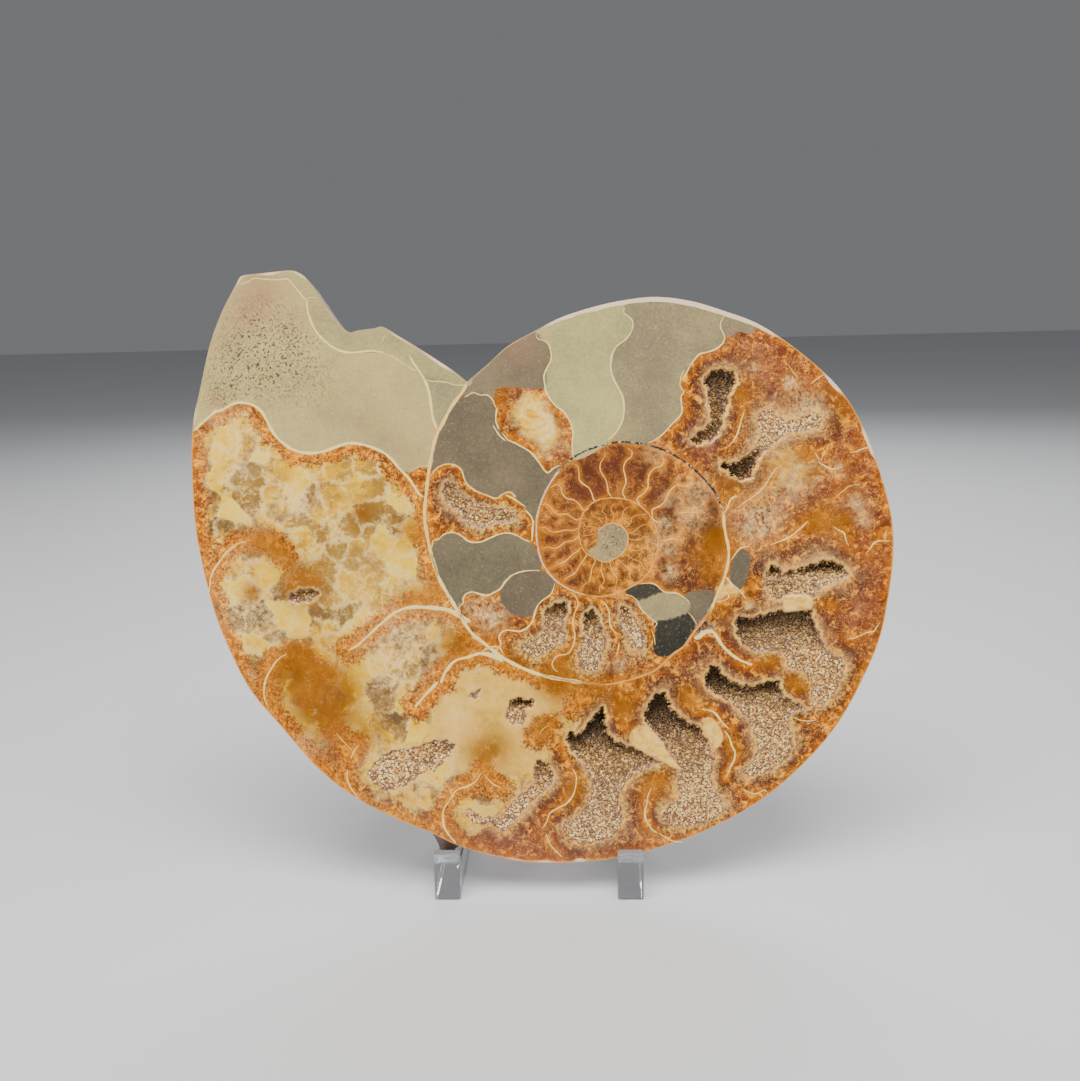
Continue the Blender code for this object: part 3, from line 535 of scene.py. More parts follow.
# %% Mud chambers: lightness, greenness, outline
MUD = [
    (.75, .35, [(194, 431), (208, 418), (222, 410), (240, 402.5), (250, 404), (258, 408), (269, 425),
     (283, 443), (302, 452.5), (325, 451), (356, 443.5), (371, 447), (387, 455), (400, 469), (411, 472),
     (421, 467), (432, 466), (436, 437), (433, 418), (431, 405), (429, 392), (419, 371), (409, 355),
     (384, 352.5), (355, 352.5), (335, 348.5), (318, 334), (307, 300), (296, 288), (285, 279), (255, 279),
     (236, 277), (180, 300), (180, 440)]),
    (.70, .45, [(230, 280), (246, 270), (290, 266), (308, 276), (322, 292), (337, 314), (352, 331),
     (384, 320), (402, 334), (472, 378), (465, 389), (445, 382), (421, 376), (416, 371), (405, 364),
     (395, 357.5), (384, 353), (370, 351), (355, 352.5), (345, 352), (335, 348.5), (326, 342), (318, 334),
     (312, 324), (308, 312), (307, 300), (303, 297), (296, 288), (289, 280), (285, 279), (275, 280),
     (255, 278.5), (248, 282), (238, 286)]),
    (.66, .6, [(437, 429), (444, 420), (452, 404), (463, 389), (450, 380), (421, 375), (429, 392),
     (433, 418)]),
    (.54, .0, [(467, 384), (489, 360), (536, 331), (545, 341), (551, 352), (547, 368), (544, 388),
     (500, 387), (494, 398), (487, 395), (473, 392.5), (464, 397)]),
    (.72, .7, [(536, 325), (580, 300), (625, 296), (624, 312), (632, 320), (630, 334), (618, 345),
     (611, 362), (614, 380), (623, 398), (623, 418), (614, 435), (605, 446), (574, 460), (573, 435),
     (568, 418), (556, 406), (546, 391), (544, 376), (551, 360), (549, 345), (538, 339)]),
    (.63, .3, [(624, 296), (660, 290), (724, 303), (721, 329), (724, 341), (714, 350), (700, 354),
     (690, 366), (682, 378), (681, 392), (682, 410), (672, 424), (650, 443), (635, 443), (614, 441),
     (623, 418), (623, 398), (611, 370), (618, 345), (630, 334), (632, 320), (624, 312)]),
    (.48, .1, [(460, 398), (473, 392.5), (487, 395), (492, 399), (496, 408), (496, 422), (504, 436),
     (515, 443), (529, 451), (540, 464), (547, 473), (560, 466), (546, 490), (538, 510), (533, 521),
     (526, 509), (516, 499), (510, 492), (496, 498.5), (486, 495), (468, 485), (464, 478), (462, 471),
     (450, 464), (436, 469), (431, 476), (436, 440), (450, 410)]),
    (.49, .35, [(433, 545), (439, 539), (450, 532.5), (463, 537), (474, 542.5), (490, 538), (508, 533),
     (530, 542), (537, 552), (541, 570.5), (520, 572), (505, 582), (495, 592), (480, 594), (466, 594),
     (463, 601), (457, 608), (446, 591), (438, 576), (431, 553)]),
    (.47, .0, [(541, 570.5), (520, 572), (508, 580), (500, 592), (504, 606), (515, 615), (533, 616),
     (538, 605), (552, 592), (556, 582)]),
    (.22, .2, [(625, 592), (640, 584), (655, 585), (663, 591), (650, 597), (636, 604), (640, 603)]),
    (.65, .5, [(634, 601), (650, 596), (663, 591), (676, 593), (690, 604), (688, 613), (670, 619),
     (654, 622), (645, 613)]),
    (.20, .3, [(654, 622), (670, 619), (689, 613), (695, 622), (694, 632), (684, 646), (672, 655),
     (656, 655), (653, 640), (656, 630)]),
    (.60, .2, [(724, 316), (735, 308), (752, 318), (757, 328), (750, 334), (738, 332), (728, 338),
     (721, 330)]),
    (.50, .1, [(690, 592), (712, 590), (714, 600), (705, 620), (697, 628), (688, 612), (690, 604),
     (684, 597)]),
    (.45, .3, [(733, 560), (742, 549), (750, 556), (748, 575), (740, 590), (730, 580)]),
]
# Outline of the region of clear calcite
CALCITE_PX = [
    (196, 440), (222, 415), (250, 408), (275, 440), (302, 456), (356, 447), (400, 472), (424, 500),
    (430, 553), (446, 591), (470, 631), (502, 660), (560, 684), (600, 690), (590, 705), (575, 730),
    (560, 745), (545, 765), (510, 800), (460, 850), (400, 825), (320, 770), (250, 690), (205, 570),
]
print("mud chambers", len(MUD))

# %% Soft patches: x, y, radius in pixels, strength
AMBER = [
    (720, 541, 12, .8), (290, 672, 24, .7), (336, 692, 24, .8), (303, 586, 17, .9), (541, 730, 14, 1.0),
    (488, 753, 24, 1.1), (315, 682, 36, .9), (411, 532, 15, 1.1), (362, 512, 13, .9), (303, 585, 23, .8),
    (252, 592, 10, .9), (258, 538, 16, .8), (278, 552, 14, .9), (798, 683, 13, 1.0), (770, 660, 12, .9),
    (575, 790, 16, .9), (655, 786, 16, 1.0), (624, 708, 14, 1.0), (740, 395, 12, .9), (803, 453, 12, 1.0),
    (820, 519, 15, 1.1), (843, 521, 11, 1.0), (779, 463, 15, .7), (732, 482, 18, .8), (432, 592, 12, 1.0),
    (410, 596, 14, .9), (455, 645, 22, .9), (560, 670, 22, 1.0), (520, 655, 14, .8), (715, 545, 18, 1.0),
    (712, 570, 14, .9), (505, 392, 12, .6), (690, 700, 14, .8), (735, 750, 10, .9), (845, 400, 22, .6),
    (330, 715, 30, .7), (300, 655, 14, .8), (640, 515, 9, .5), (762, 430, 4, 0.2), (372, 732, 20, .7),
    (600, 690, 22, .6), (555, 690, 20, .6), (725, 615, 10, .7), (535, 535, 8, .8),
]
PALE = [
    (392, 672, 26, .8), (800, 400, 15, .5), (692, 518, 13, .7), (700, 490, 14, .6), (370, 590, 40, .5),
    (230, 425, 20, .5), (225, 450, 22, .5), (290, 495, 16, 1.1), (300, 505, 14, 1.0), (240, 470, 14, .8),
    (258, 520, 14, .8), (250, 570, 20, .6), (240, 605, 22, .8), (270, 625, 26, .6), (420, 630, 22, .6),
    (400, 650, 26, .5), (560, 445, 14, .4), (775, 432, 20, .8), (790, 480, 22, .5), (757, 520, 24, .9),
    (825, 560, 20, .3), (854, 503, 10, .6), (862, 520, 7, .7), (790, 382, 7, .9), (815, 410, 13, .7),
    (480, 610, 16, .8), (497, 618, 12, .7), (400, 770, 26, .8), (445, 752, 18, .9), (380, 760, 16, .6),
    (460, 715, 9, .9), (475, 693, 9, 1.0), (513, 722, 9, 1.1), (665, 545, 14, .6), (670, 573, 7, 1.2),
    (668, 500, 10, .4), (838, 470, 8, .5), (655, 455, 10, .4), (620, 665, 7, 1.0), (430, 780, 20, .5),
    (665, 523, 6, 1.1), (525, 800, 10, .7), (550, 780, 8, .8), (753, 368, 5, .9), (308, 742, 12, .9),
]
GLOW = [
    (535, 420, 20, 1.0), (528, 405, 12, .7), (548, 435, 12, .6), (545, 455, 10, .3), (665, 808, 7, .5),
    (718, 600, 5, .4), (735, 588, 8, 1.0), (722, 590, 7, .8), (748, 605, 8, .5), (697, 700, 8, .4),
    (455, 500, 8, .4), (500, 517, 12, .3), (775, 455, 20, .35), (800, 474, 24, .45), (760, 500, 16, .35),
]
RIM_WHITE = [
    (550, 322, 12, .5), (570, 314, 14, .8), (595, 306, 16, 1.0), (620, 300, 18, 1.0), (650, 297, 20, 1.1),
    (680, 299, 20, 1.1), (705, 305, 18, 1.1), (730, 312, 18, 1.0), (750, 321, 16, .8), (768, 332, 14, .6),
    (830, 382, 12, .6), (836, 388, 10, .5), (866, 436, 12, .7), (872, 452, 8, .6), (240, 280, 10, .5),
    (270, 272, 14, .6), (300, 275, 12, .5), (400, 338, 20, .5), (440, 362, 20, .7), (330, 312, 12, .3),
    (545, 862, 14, .5), (515, 860, 14, .4), (580, 857, 8, .8), (194, 415, 14, .5), (885, 530, 8, .4),
]
BLUSH = [
    (262, 295, 30, 1.0), (240, 320, 22, .6), (300, 330, 18, .5), (215, 400, 14, .7), (330, 395, 22, .3),
    (370, 425, 24, .3), (405, 455, 20, .5), (520, 350, 20, .4), (225, 345, 16, .4),
]
SMOOTH = [
    (480, 690, 34, 1.3), (520, 735, 40, 1.3), (455, 730, 30, 1.0), (560, 700, 26, 1.2), (480, 770, 24, .8),
    (535, 690, 24, 1.1),
]
GRIT = [
    (255, 345, 34, 1.1), (280, 370, 34, 1.0), (235, 375, 28, .9), (300, 345, 24, .8), (320, 390, 26, .4),
    (220, 400, 20, .6), (265, 320, 26, .6), (650, 330, 30, .25), (460, 600, 12, .4), (612, 541, 16, 1.3),
]
RUST = [
    (630, 450, 14, .5), (326, 728, 24, .9), (300, 702, 18, .8), (303, 590, 13, .9), (780, 380, 46, .7),
    (720, 340, 24, .6), (860, 460, 34, .7), (875, 560, 26, .6), (870, 620, 26, .7), (840, 520, 30, .4),
    (700, 450, 16, .9), (735, 520, 14, .8), (745, 645, 18, .8), (820, 640, 22, .6), (620, 848, 34, .7),
    (700, 815, 28, .6), (500, 840, 36, .9), (560, 846, 22, .6), (590, 490, 26, .9), (620, 480, 30, .8),
    (650, 480, 20, .7), (565, 505, 22, .9), (560, 545, 20, .8), (655, 500, 14, .8), (585, 575, 12, .8),
    (600, 468, 20, .7), (303, 592, 12, .8), (310, 690, 18, .6), (230, 700, 30, .4), (760, 735, 12, .5),
    (640, 530, 8, .5), (720, 700, 12, .5), (450, 830, 26, .5), (395, 805, 26, .5), (330, 760, 22, .5),
]
OLIVE = [
    (245, 488, 22, .9), (275, 480, 18, .8), (262, 455, 14, .6), (370, 470, 26, 1.0), (335, 480, 26, .8),
    (385, 495, 20, .9), (330, 530, 34, 1.0), (372, 555, 26, 1.0), (345, 590, 26, .8), (385, 600, 20, .8),
    (310, 548, 14, .9), (350, 640, 22, .6), (345, 565, 24, .8), (475, 685, 30, 1.0), (500, 720, 30, 1.0),
    (560, 705, 22, .8), (455, 720, 22, .7), (610, 735, 18, .4), (485, 770, 14, .8), (300, 560, 14, .7),
]
# Painted sparkle: inside these patches the crust's crystals take a brighter, lit copy of their colour.
PAINTED_SPARKLE = [
    (740, 700, 26, .5), (815, 682, 26, 1.0), (838, 660, 18, .9), (800, 650, 30, .4), (776, 742, 26, .8),
    (752, 768, 18, .9), (700, 800, 30, .8), (690, 820, 20, .8), (598, 832, 26, .9), (575, 825, 14, .7),
    (500, 822, 22, 1.0), (522, 800, 18, .9), (475, 818, 14, .8), (820, 572, 22, .6), (800, 585, 20, .5),
    (400, 765, 40, 1.0), (770, 425, 26, .8), (800, 424, 18, .9), (480, 515, 20, .6), (590, 655, 16, .5),
    (638, 635, 14, .9), (546, 640, 18, .4), (515, 718, 12, .8), (700, 425, 20, .3),
]
PATCHES = {
    "amber": AMBER, "pale": PALE, "glow": GLOW, "rim_white": RIM_WHITE, "blush": BLUSH,
    "smooth": SMOOTH, "grit": GRIT, "rust": RUST, "olive": OLIVE,
}
print("soft patches", {name: len(spots) for name, spots in PATCHES.items()})

# %% [markdown]
# ## The sawn face as a grid
# The face is one fine grid, cut to the outline: squares whose middle lies inside are kept, and
# the grid points on their border are moved onto the outline. Distances to the walls are worked
# out for whole arrays of grid points at once and stored on the mesh as attributes, which the
# material reads. The hollows are pressed into the grid.

# %% Distance and inside tests on whole arrays
LINE_GAP = 40.0
TILE = 10.0
PATCH_LIMIT = 1.3


def segments(lines):
    """All straight pieces of several polylines: starts, ends and the arc length at each start. A
    gap of length is left between two lines, so that their noises don't follow on."""
    starts, ends, along = [], [], []
    offset = 0.0
    for line in lines:
        lengths = np.linalg.norm(np.diff(line, axis=0), axis=1)
        starts.append(line[:-1])
        ends.append(line[1:])
        along.append(offset + np.concatenate([[0.0], np.cumsum(lengths)[:-1]]))
        offset += lengths.sum() + LINE_GAP
    return np.vstack(starts), np.vstack(ends), np.concatenate(along)


def nearest(points, lines, reach=14.0):
    """Distance from each point to the nearest polyline, and how far along it that is. A point's
    share along a segment is the dot product with it over its squared length, held to 0..1. The
    points are taken tile by tile, each against the segments within reach."""
    starts, ends, along = segments(lines)
    best = np.full(len(points), reach)
    where = np.zeros(len(points))
    cells = np.floor(points / TILE).astype(int)
    order = np.lexsort((cells[:, 1], cells[:, 0]))
    keys, first = np.unique(cells[order], axis=0, return_index=True)
    for key, members in zip(keys, np.split(order, first[1:])):
        low = key * TILE - reach
        high = (key + 1) * TILE + reach
        near = np.all((np.minimum(starts, ends) < high) & (np.maximum(starts, ends) > low), axis=1)
        if not near.any():
            continue
        a, side = starts[near], (ends - starts)[near]
        offset = points[members][:, None, :] - a[None]
        square = np.maximum((side**2).sum(axis=1), 1e-12)
        share = np.clip((offset * side[None]).sum(axis=2) / square, 0.0, 1.0)
        gap = np.linalg.norm(offset - share[..., None] * side[None], axis=2)
        pick = gap.argmin(axis=1)
        rows = np.arange(len(members))
        closer = gap[rows, pick] < best[members]
        best[members] = np.where(closer, gap[rows, pick], best[members])
        place = along[near][pick] + share[rows, pick] * np.sqrt(square)[pick]
        where[members] = np.where(closer, place, where[members])
    return best, where


def inside(points, polygon):
    """Even-odd rule: inside is where a ray to one side crosses the border an odd number of times."""
    result = np.zeros(len(points), dtype=bool)
    following = np.roll(polygon, -1, axis=0)
    for a, b in zip(polygon, following):
        if a[1] == b[1]:
            continue
        crosses = (a[1] > points[:, 1]) != (b[1] > points[:, 1])
        at = a[0] + (points[:, 1] - a[1]) * (b[0] - a[0]) / (b[1] - a[1])
        result ^= crosses & (points[:, 0] < at)
    return result


def patch_sum(points, patches):
    """Sum of round soft patches: strength times exp(-(distance / radius) squared), held to a limit."""
    total = np.zeros(len(points))
    for x, y, radius, strength in patches:
        centre = face_mm([(x, y)])[0]
        gap = np.linalg.norm(points - centre, axis=1) / (radius * MM_PER_PIXEL)
        total += strength * np.exp(-(gap**2))
    return np.clip(total, 0.0, PATCH_LIMIT)


# %% Grid cut to the outline
GRID_STEP = 0.5
BORDER_PARTS = 12


def clipped_grid(step):
    """Square grid over the outline: kept squares have their middle inside; border points are moved
    to the nearest place on the outline."""
    low = outline.min(axis=0) - step
    high = outline.max(axis=0) + step
    nu = int((high[0] - low[0]) / step) + 1
    nv = int((high[1] - low[1]) / step) + 1
    u = low[0] + np.arange(nu) * step
    v = low[1] + np.arange(nv) * step
    grid = np.stack(np.meshgrid(u, v, indexing="ij"), axis=-1).reshape(-1, 2)
    index = np.arange(nu * nv).reshape(nu, nv)
    corners = [index[:-1, :-1], index[1:, :-1], index[1:, 1:], index[:-1, 1:]]
    quads = np.stack(corners, axis=-1).reshape(-1, 4)
    quads = quads[inside(grid[quads].mean(axis=1), outline)]
    used, flat = np.unique(quads, return_inverse=True)
    quads = flat.reshape(-1, 4)
    points = grid[used]
    edges = np.sort(np.stack([quads, np.roll(quads, -1, axis=1)], axis=-1).reshape(-1, 2), axis=1)
    unique, count = np.unique(edges, axis=0, return_counts=True)
    border = np.unique(unique[count == 1])
    loop = np.vstack([outline, outline[:1]])
    a, side = loop[:-1], np.diff(loop, axis=0)
    for part in np.array_split(border, BORDER_PARTS):
        offset = points[part][:, None, :] - a[None]
        share = np.clip((offset * side).sum(axis=2) / np.maximum((side**2).sum(axis=1), 1e-12), 0, 1)
        spot = a[None] + share[..., None] * side[None]
        gap = np.linalg.norm(points[part][:, None, :] - spot, axis=2)
        points[part] = spot[np.arange(len(part)), gap.argmin(axis=1)]
    return points, quads, unique[count == 1]


face_uv, face_quads, border_edges = clipped_grid(GRID_STEP)
print("face points", len(face_uv), "squares", len(face_quads))

# %% [markdown]
# Hollows are pressed in with a depth that runs from the value at the upper end to that at the
# lower end, eased over the first millimetre in from the edge so that a rounded lip is left. Three
# sines along the edge make it ragged.

# %% Depth of the hollows
HOLLOW_REACH = 9.0


def hollow_depth(points):
    """Depth below the polish, the signed distance to the nearest hollow's edge, positive inside,
    and the depth that its floor has there."""
    depth = np.zeros(len(points))
    floor_depth = np.zeros(len(points))
    signed = np.full(len(points), -HOLLOW_REACH)
    for _, upper, lower, _, pixels in HOLLOWS:
        border = curve(face_mm(pixels), 0.6, closed=True)
        low, high = border.min(axis=0), border.max(axis=0)
        in_reach = (points > low - HOLLOW_REACH) & (points < high + HOLLOW_REACH)
        near = np.where(np.all(in_reach, axis=1))[0]
        gap, along = nearest(points[near], [np.vstack([border, border[:1]])], HOLLOW_REACH)
        edge = np.where(inside(points[near], border), gap, -gap)
        ragged = (0.26 * np.sin(along * 2.1) + 0.2 * np.sin(along * 5.3 + 1.0)
                  + 0.12 * np.sin(along * 11.0))
        edge = edge + ragged * np.exp(-(edge / 1.5) ** 2)
        share = np.clip((high[1] - points[near, 1]) / (high[1] - low[1]), 0, 1)
        slope = (0.08, 0.55) if upper > lower else (0.50, 0.80)
        sunk = upper + (lower - upper) * smoothstep(*slope, share)
        here = sunk * smoothstep(-0.30, 1.0, edge)
        depth[near] = np.maximum(depth[near], here)
        floor_depth[near] = np.where(edge > signed[near], sunk, floor_depth[near])
        signed[near] = np.maximum(signed[near], edge)
    return depth, signed, floor_depth


face_depth, face_hollow, face_floor = hollow_depth(face_uv)
print("deepest hollow mm", face_depth.max().round(2))

# %% [markdown]
# The fields that the material reads: the distance to the nearest wall or to the rim, how far
# along the wall that is, and the signed distances to mud, plugs, calcite and the inner whorls.

# %% Distance to the walls
wall_curve = curve(face_mm(WALL_PX), 0.6)
septa_curves = [curve(face_mm(points), 0.5) for _, _, _, _, points in SEPTA]
core_curves = [curve(face_mm(points), 0.6) for points in CORES_PX]
blob_curve = curve(face_mm(BLOB_PX), 0.5, closed=True)
outline_loop = np.vstack([outline, outline[:1]])
wall_gap, wall_along = nearest(face_uv, [wall_curve] + septa_curves + core_curves)
rim_gap, rim_along = nearest(face_uv, [outline_loop])
band = np.minimum(wall_gap, rim_gap * 0.9 + 0.2)
along = np.where(wall_gap < rim_gap, wall_along, rim_along)
print("widest distance to a wall mm", band.max().round(1))

# %% Mud, plugs, calcite and inner whorls
EDGE_REACH = 3.0
BLOB_TONE = (.66, .0)


def signed_gap(points, border, reach=EDGE_REACH):
    """Distance to a closed border, positive inside and negative outside, held to the reach."""
    gap, _ = nearest(points, [np.vstack([border, border[:1]])], reach)
    return np.where(inside(points, border), gap, -gap)


mud = np.full(len(face_uv), -EDGE_REACH)
tone = np.zeros(len(face_uv))
green = np.zeros(len(face_uv))
mud_borders = [(light, greenish, curve(face_mm(pixels), 0.8, closed=True))
               for light, greenish, pixels in MUD]
for lightness, greenness, border in mud_borders + [(*BLOB_TONE, blob_curve)]:
    gap = signed_gap(face_uv, border)
    mine = (gap > mud) & (gap > -1.0)
    tone[mine] = lightness
    green[mine] = greenness
    mud = np.maximum(mud, gap)
plug = np.full(len(face_uv), -EDGE_REACH)
for pixels in PLUGS_PX:
    plug = np.maximum(plug, signed_gap(face_uv, curve(face_mm(pixels), 0.5, closed=True)))
calcite = signed_gap(face_uv, face_mm(CALCITE_PX))
inner_whorls = signed_gap(face_uv, curve(face_mm(WALL_PX[18:52]), 0.6))
first_whorl = signed_gap(face_uv, curve(face_mm(WALL_PX[3:20]), 0.6))
print("mud share", (mud > 0).mean().round(3), "calcite share", (calcite > 0).mean().round(3))

# %% [markdown]
# ## Mesh and attribute helpers
# A mesh made from arrays, with each field stored as a float on its points.

# %% Helpers
def make_piece(name, co, faces, fields=None, smooth=True):
    """Mesh object from an array of points and faces; fields is a dict of one value a point."""
    mesh = bpy.data.meshes.new(name)
    mesh.from_pydata(co.tolist(), [], faces.tolist() if hasattr(faces, "tolist") else faces)
    for field, values in (fields or {}).items():
        attribute = mesh.attributes.new(field, "FLOAT", "POINT")
        attribute.data.foreach_set("value", np.asarray(values, dtype=np.float32))
    if smooth:
        mesh.shade_smooth()
    piece = bpy.data.objects.new(name, mesh)
    bpy.context.scene.collection.objects.link(piece)
    return piece


def settle(piece, slot, *nodes):
    """Every piece rides on the one body, and the solids it stands for are hidden; the slot, the name of
    its finish, is not used.
    """
    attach(piece, "root")
    if nodes:
        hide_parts(*nodes)


# %% The sawn face
face_depth = face_depth * smoothstep(0.4, -0.4, plug)
face_hollow = np.minimum(face_hollow, -plug)
fine = 0.03 * np.sin(face_uv[:, 0] * 7.1) * np.sin(face_uv[:, 1] * 6.3) * (face_hollow > 0.4)
face_w = -face_depth + fine
face_fields = {
    "band": band, "along": along, "mud": mud, "tone": tone, "green": green, "calcite": calcite,
    "inner": inner_whorls, "first": first_whorl, "plug": plug, "hollow": face_hollow,
    "depth": face_depth, "floor": face_floor, "rim": rim_gap,
}
face_fields.update({name: patch_sum(face_uv, spots) for name, spots in PATCHES.items()})
face_co = world(face_uv[:, 0], face_uv[:, 1], face_w)
face = make_piece("sawn_face", face_co, face_quads, face_fields)
settle(face, "polished_fossil", "ammonite_half")
print("face triangles", 2 * len(face_quads), "fields", len(face_fields))

# %% [markdown]
# ## The natural outside
# Behind the polish the shell keeps its natural form: each whorl swells from the rim to a
# shoulder and drops into the navel, where the earlier whorls show. The same formula shapes the
# solid; here the grid is fine enough for the sickle-shaped ribs, and fields are stored for the
# frilled suture lines, along which each septum met the outside of the shell.

# %% Height of the back
WHORL_GROWTH = 2.14
THICKNESS_BASE = 8.0
THICKNESS_SLOPE = 0.11
EDGE_THICKNESS = 2.4
UMBILICUS = 0.24
SHOULDER = 0.42
RIB_COUNT = 24
RIB_HEIGHT = 0.6
rim_angle = np.degrees(np.unwrap(np.arctan2(rim_line[:, 1], rim_line[:, 0])))[::-1]
rim_radii = np.hypot(rim_line[:, 0], rim_line[:, 1])[::-1]
mouth_angle = rim_angle[-1]
print("the rim runs from", rim_angle[0].round(1), "to", mouth_angle.round(1), "degrees")


def rim_radius(angle):
    """Rim radius by interpolation along the traced rim; past the notch it shrinks as a log spiral."""
    inner = np.interp(angle, rim_angle, rim_radii)
    return inner * WHORL_GROWTH ** (-np.maximum(angle - mouth_angle, 0.0) / 360.0)


def flank(share):
    """Swelling from rim to shoulder as (1 - x^2.3)^0.62, then a gentle fall to the navel's edge."""
    outer = np.clip((share - SHOULDER) / (1.0 - SHOULDER), 0.0, 1.0)
    inner = np.clip((SHOULDER - share) / (SHOULDER - UMBILICUS), 0.0, 1.5)
    return np.where(share > SHOULDER, (1.0 - outer**2.3) ** 0.62, 1.0 - 0.10 * inner**2)


def whorl_height(distance_out, angle, rim):
    """One whorl: a thickness that grows with its radius, times the flank, plus ribs on the outer
    half."""
    share = distance_out / rim
    sweep = angle + 16.0 * np.sin(math.pi * np.clip(share, 0, 1) * 1.3)
    ribs = RIB_HEIGHT * np.cos(np.radians(sweep) * RIB_COUNT)
    return ((THICKNESS_BASE + THICKNESS_SLOPE * rim) * flank(share)
            + ribs * smoothstep(0.45, 0.75, share) * (1 - smoothstep(0.93, 1.0, share)))


def nested_whorls(distance_out, angle, rim):
    """The outermost whorl outside its navel, the one before inside it, and so on."""
    height = whorl_height(distance_out, angle, rim)
    for turn in (1, 2):
        edge = UMBILICUS * rim / WHORL_GROWTH ** (turn - 1)
        inner = whorl_height(distance_out, angle + 9.0 * turn, rim / WHORL_GROWTH**turn) - 0.8 * turn
        outside = smoothstep(edge - 1.3, edge + 1.3, distance_out)
        height = height * outside + inner * (1 - outside)
    return height


def back_height(points):
    """Depth of the outside behind the face: the early and the late part of the last whorl are
    blended across the mouth, then low lumps and a shallow flaked scar are added."""
    distance_out = np.hypot(points[:, 0], points[:, 1])
    angle = np.degrees(np.arctan2(points[:, 1], points[:, 0]))
    late = np.where(angle > 0, angle - 360.0, angle)
    near_mouth = smoothstep(mouth_angle - 9.0, mouth_angle + 3.0, angle)
    near_mouth = np.where((distance_out > rim_radii[-1]) & (angle > mouth_angle - 0.5), 1.0, near_mouth)
    height = nested_whorls(distance_out, angle, rim_radius(angle)) * (1 - near_mouth)
    late_rim = rim_radius(np.maximum(late, rim_angle[0]))
    height += nested_whorls(distance_out, late, late_rim) * near_mouth
    lumps = 0.35 * np.sin(points[:, 0] * 0.11 + 1.0) * np.cos(points[:, 1] * 0.13)
    swell = np.sin(points[:, 0] * 0.045 + 0.6) * np.cos(points[:, 1] * 0.06 - 0.4)
    scar = smoothstep(0.2, 0.5, swell)
    height = height + lumps - 0.8 * scar * smoothstep(30.0, 45.0, distance_out)
    return height, late, near_mouth, scar


# %% Depth of the outside, and the heel that touches the left seat
HEEL_U, HEEL_DROP, HEEL_REACH = -45.4, 5.4, 2.6
HEEL_BELOW, HEEL_FADE = -60.0, 3.0
back_w, back_late, back_mouth, back_scar = back_height(face_uv)
back_w = -np.maximum(back_w, EDGE_THICKNESS)
heel = np.exp(-((face_uv[:, 0] - HEEL_U) / HEEL_REACH) ** 2) * (face_uv[:, 1] < HEEL_BELOW)
heel *= np.exp(-(rim_gap / HEEL_FADE) ** 2) * HEEL_DROP
back_uv = face_uv - np.stack([np.zeros(len(heel)), heel], axis=1)
back_co = world(back_uv[:, 0], back_uv[:, 1], back_w)
print("deepest place behind the face mm", (-back_w.min()).round(1))

# %% [markdown]
# A ring of points on the edge of the polish closes the side: every edge that only one square has
# is carried forward to it.

# %% The rim's wall
border_ids = np.unique(border_edges)
front_ring = world(face_uv[border_ids, 0], face_uv[border_ids, 1], np.zeros(len(border_ids)))
ring_index = np.full(len(face_uv), -1)
ring_index[border_ids] = len(face_uv) + np.arange(len(border_ids))
directed = np.stack([face_quads, np.roll(face_quads, -1, axis=1)], axis=-1).reshape(-1, 2)
key = np.sort(directed, axis=1)
order = np.lexsort((key[:, 1], key[:, 0]))
same_next = np.all(key[order][1:] == key[order][:-1], axis=1)
lonely = ~(np.concatenate([[False], same_next]) | np.concatenate([same_next, [False]]))
rim_edges = directed[order[lonely]]
wall_quads = np.stack([rim_edges[:, 0], rim_edges[:, 1], ring_index[rim_edges[:, 1]],
                       ring_index[rim_edges[:, 0]]], axis=1)
back_faces = np.vstack([face_quads[:, ::-1], wall_quads])
print("squares in the rim's wall", len(wall_quads))

# %% Suture lines, scars and the broken mouth
SUTURE_DEGREES = 9.0
BROKEN_BEYOND = 50
out_radius = np.hypot(face_uv[:, 0], face_uv[:, 1])
out_rim = rim_radius(np.maximum(back_late, rim_angle[0]))
share = np.clip(out_radius / out_rim, 0, 1.2)
frill = (0.9 * np.sin(share * 26) + 0.5 * np.sin(share * 61 + 1) + 0.28 * np.sin(share * 140 + 2)
         + 2.2 * np.sin(share * 7.5))
suture = back_late / SUTURE_DEGREES + 0.26 * frill


def with_ring(values):
    """A field of the outside, with its border values once more for the ring."""
    return np.concatenate([values, values[border_ids]])


back_fields = {"suture": suture, "share": share, "scar": back_scar, "rim": rim_gap,
               "broken": back_mouth * (out_radius > BROKEN_BEYOND), "heel": np.clip(heel / 2.0, 0, 1)}
back_fields = {name: with_ring(values) for name, values in back_fields.items()}
back = make_piece("natural_outside", np.vstack([back_co, front_ring]), back_faces, back_fields)
settle(back, "polished_fossil", "ammonite_half")
print("back triangles", 2 * len(back_faces))


# %% [markdown]
# ## Shell walls on the face
# Each wall is a low flat strip with sloping sides: four points across, carried along the curve.
# The width runs from the start through the middle to the end, and wavers a little.

# %% Strips
LIFT = 0.035
SUNK = -0.2
SECTION = ((1.0, SUNK), (0.8, LIFT), (-0.8, LIFT), (-1.0, SUNK))


def strip(line, widths, seed):
    """Cross-section carried along a line: two points sunk in the face at full width and two just
    above it at four fifths of the width, along the line's own normal."""
    tangent = np.gradient(line, axis=0)
    tangent /= np.maximum(np.linalg.norm(tangent, axis=1), 1e-9)[:, None]
    side = np.stack([-tangent[:, 1], tangent[:, 0]], axis=1)
    t = np.linspace(0, 1, len(line))
    width = np.interp(t, [0, 0.5, 1], widths)
    place = t * len(line)
    waver = 1.0 + 0.16 * np.sin(place * 0.55 + seed) + 0.10 * np.sin(place * 1.7 + 2 * seed)
    width = 0.86 * width * waver * smoothstep(-0.02, 0.03, t) * smoothstep(-0.02, 0.03, 1 - t)
    rows = []
    for across, height in SECTION:
        spot = line + side * (width * across)[:, None]
        rows.append(np.column_stack([spot, np.full(len(line), height)]))
    return np.stack(rows, axis=1)


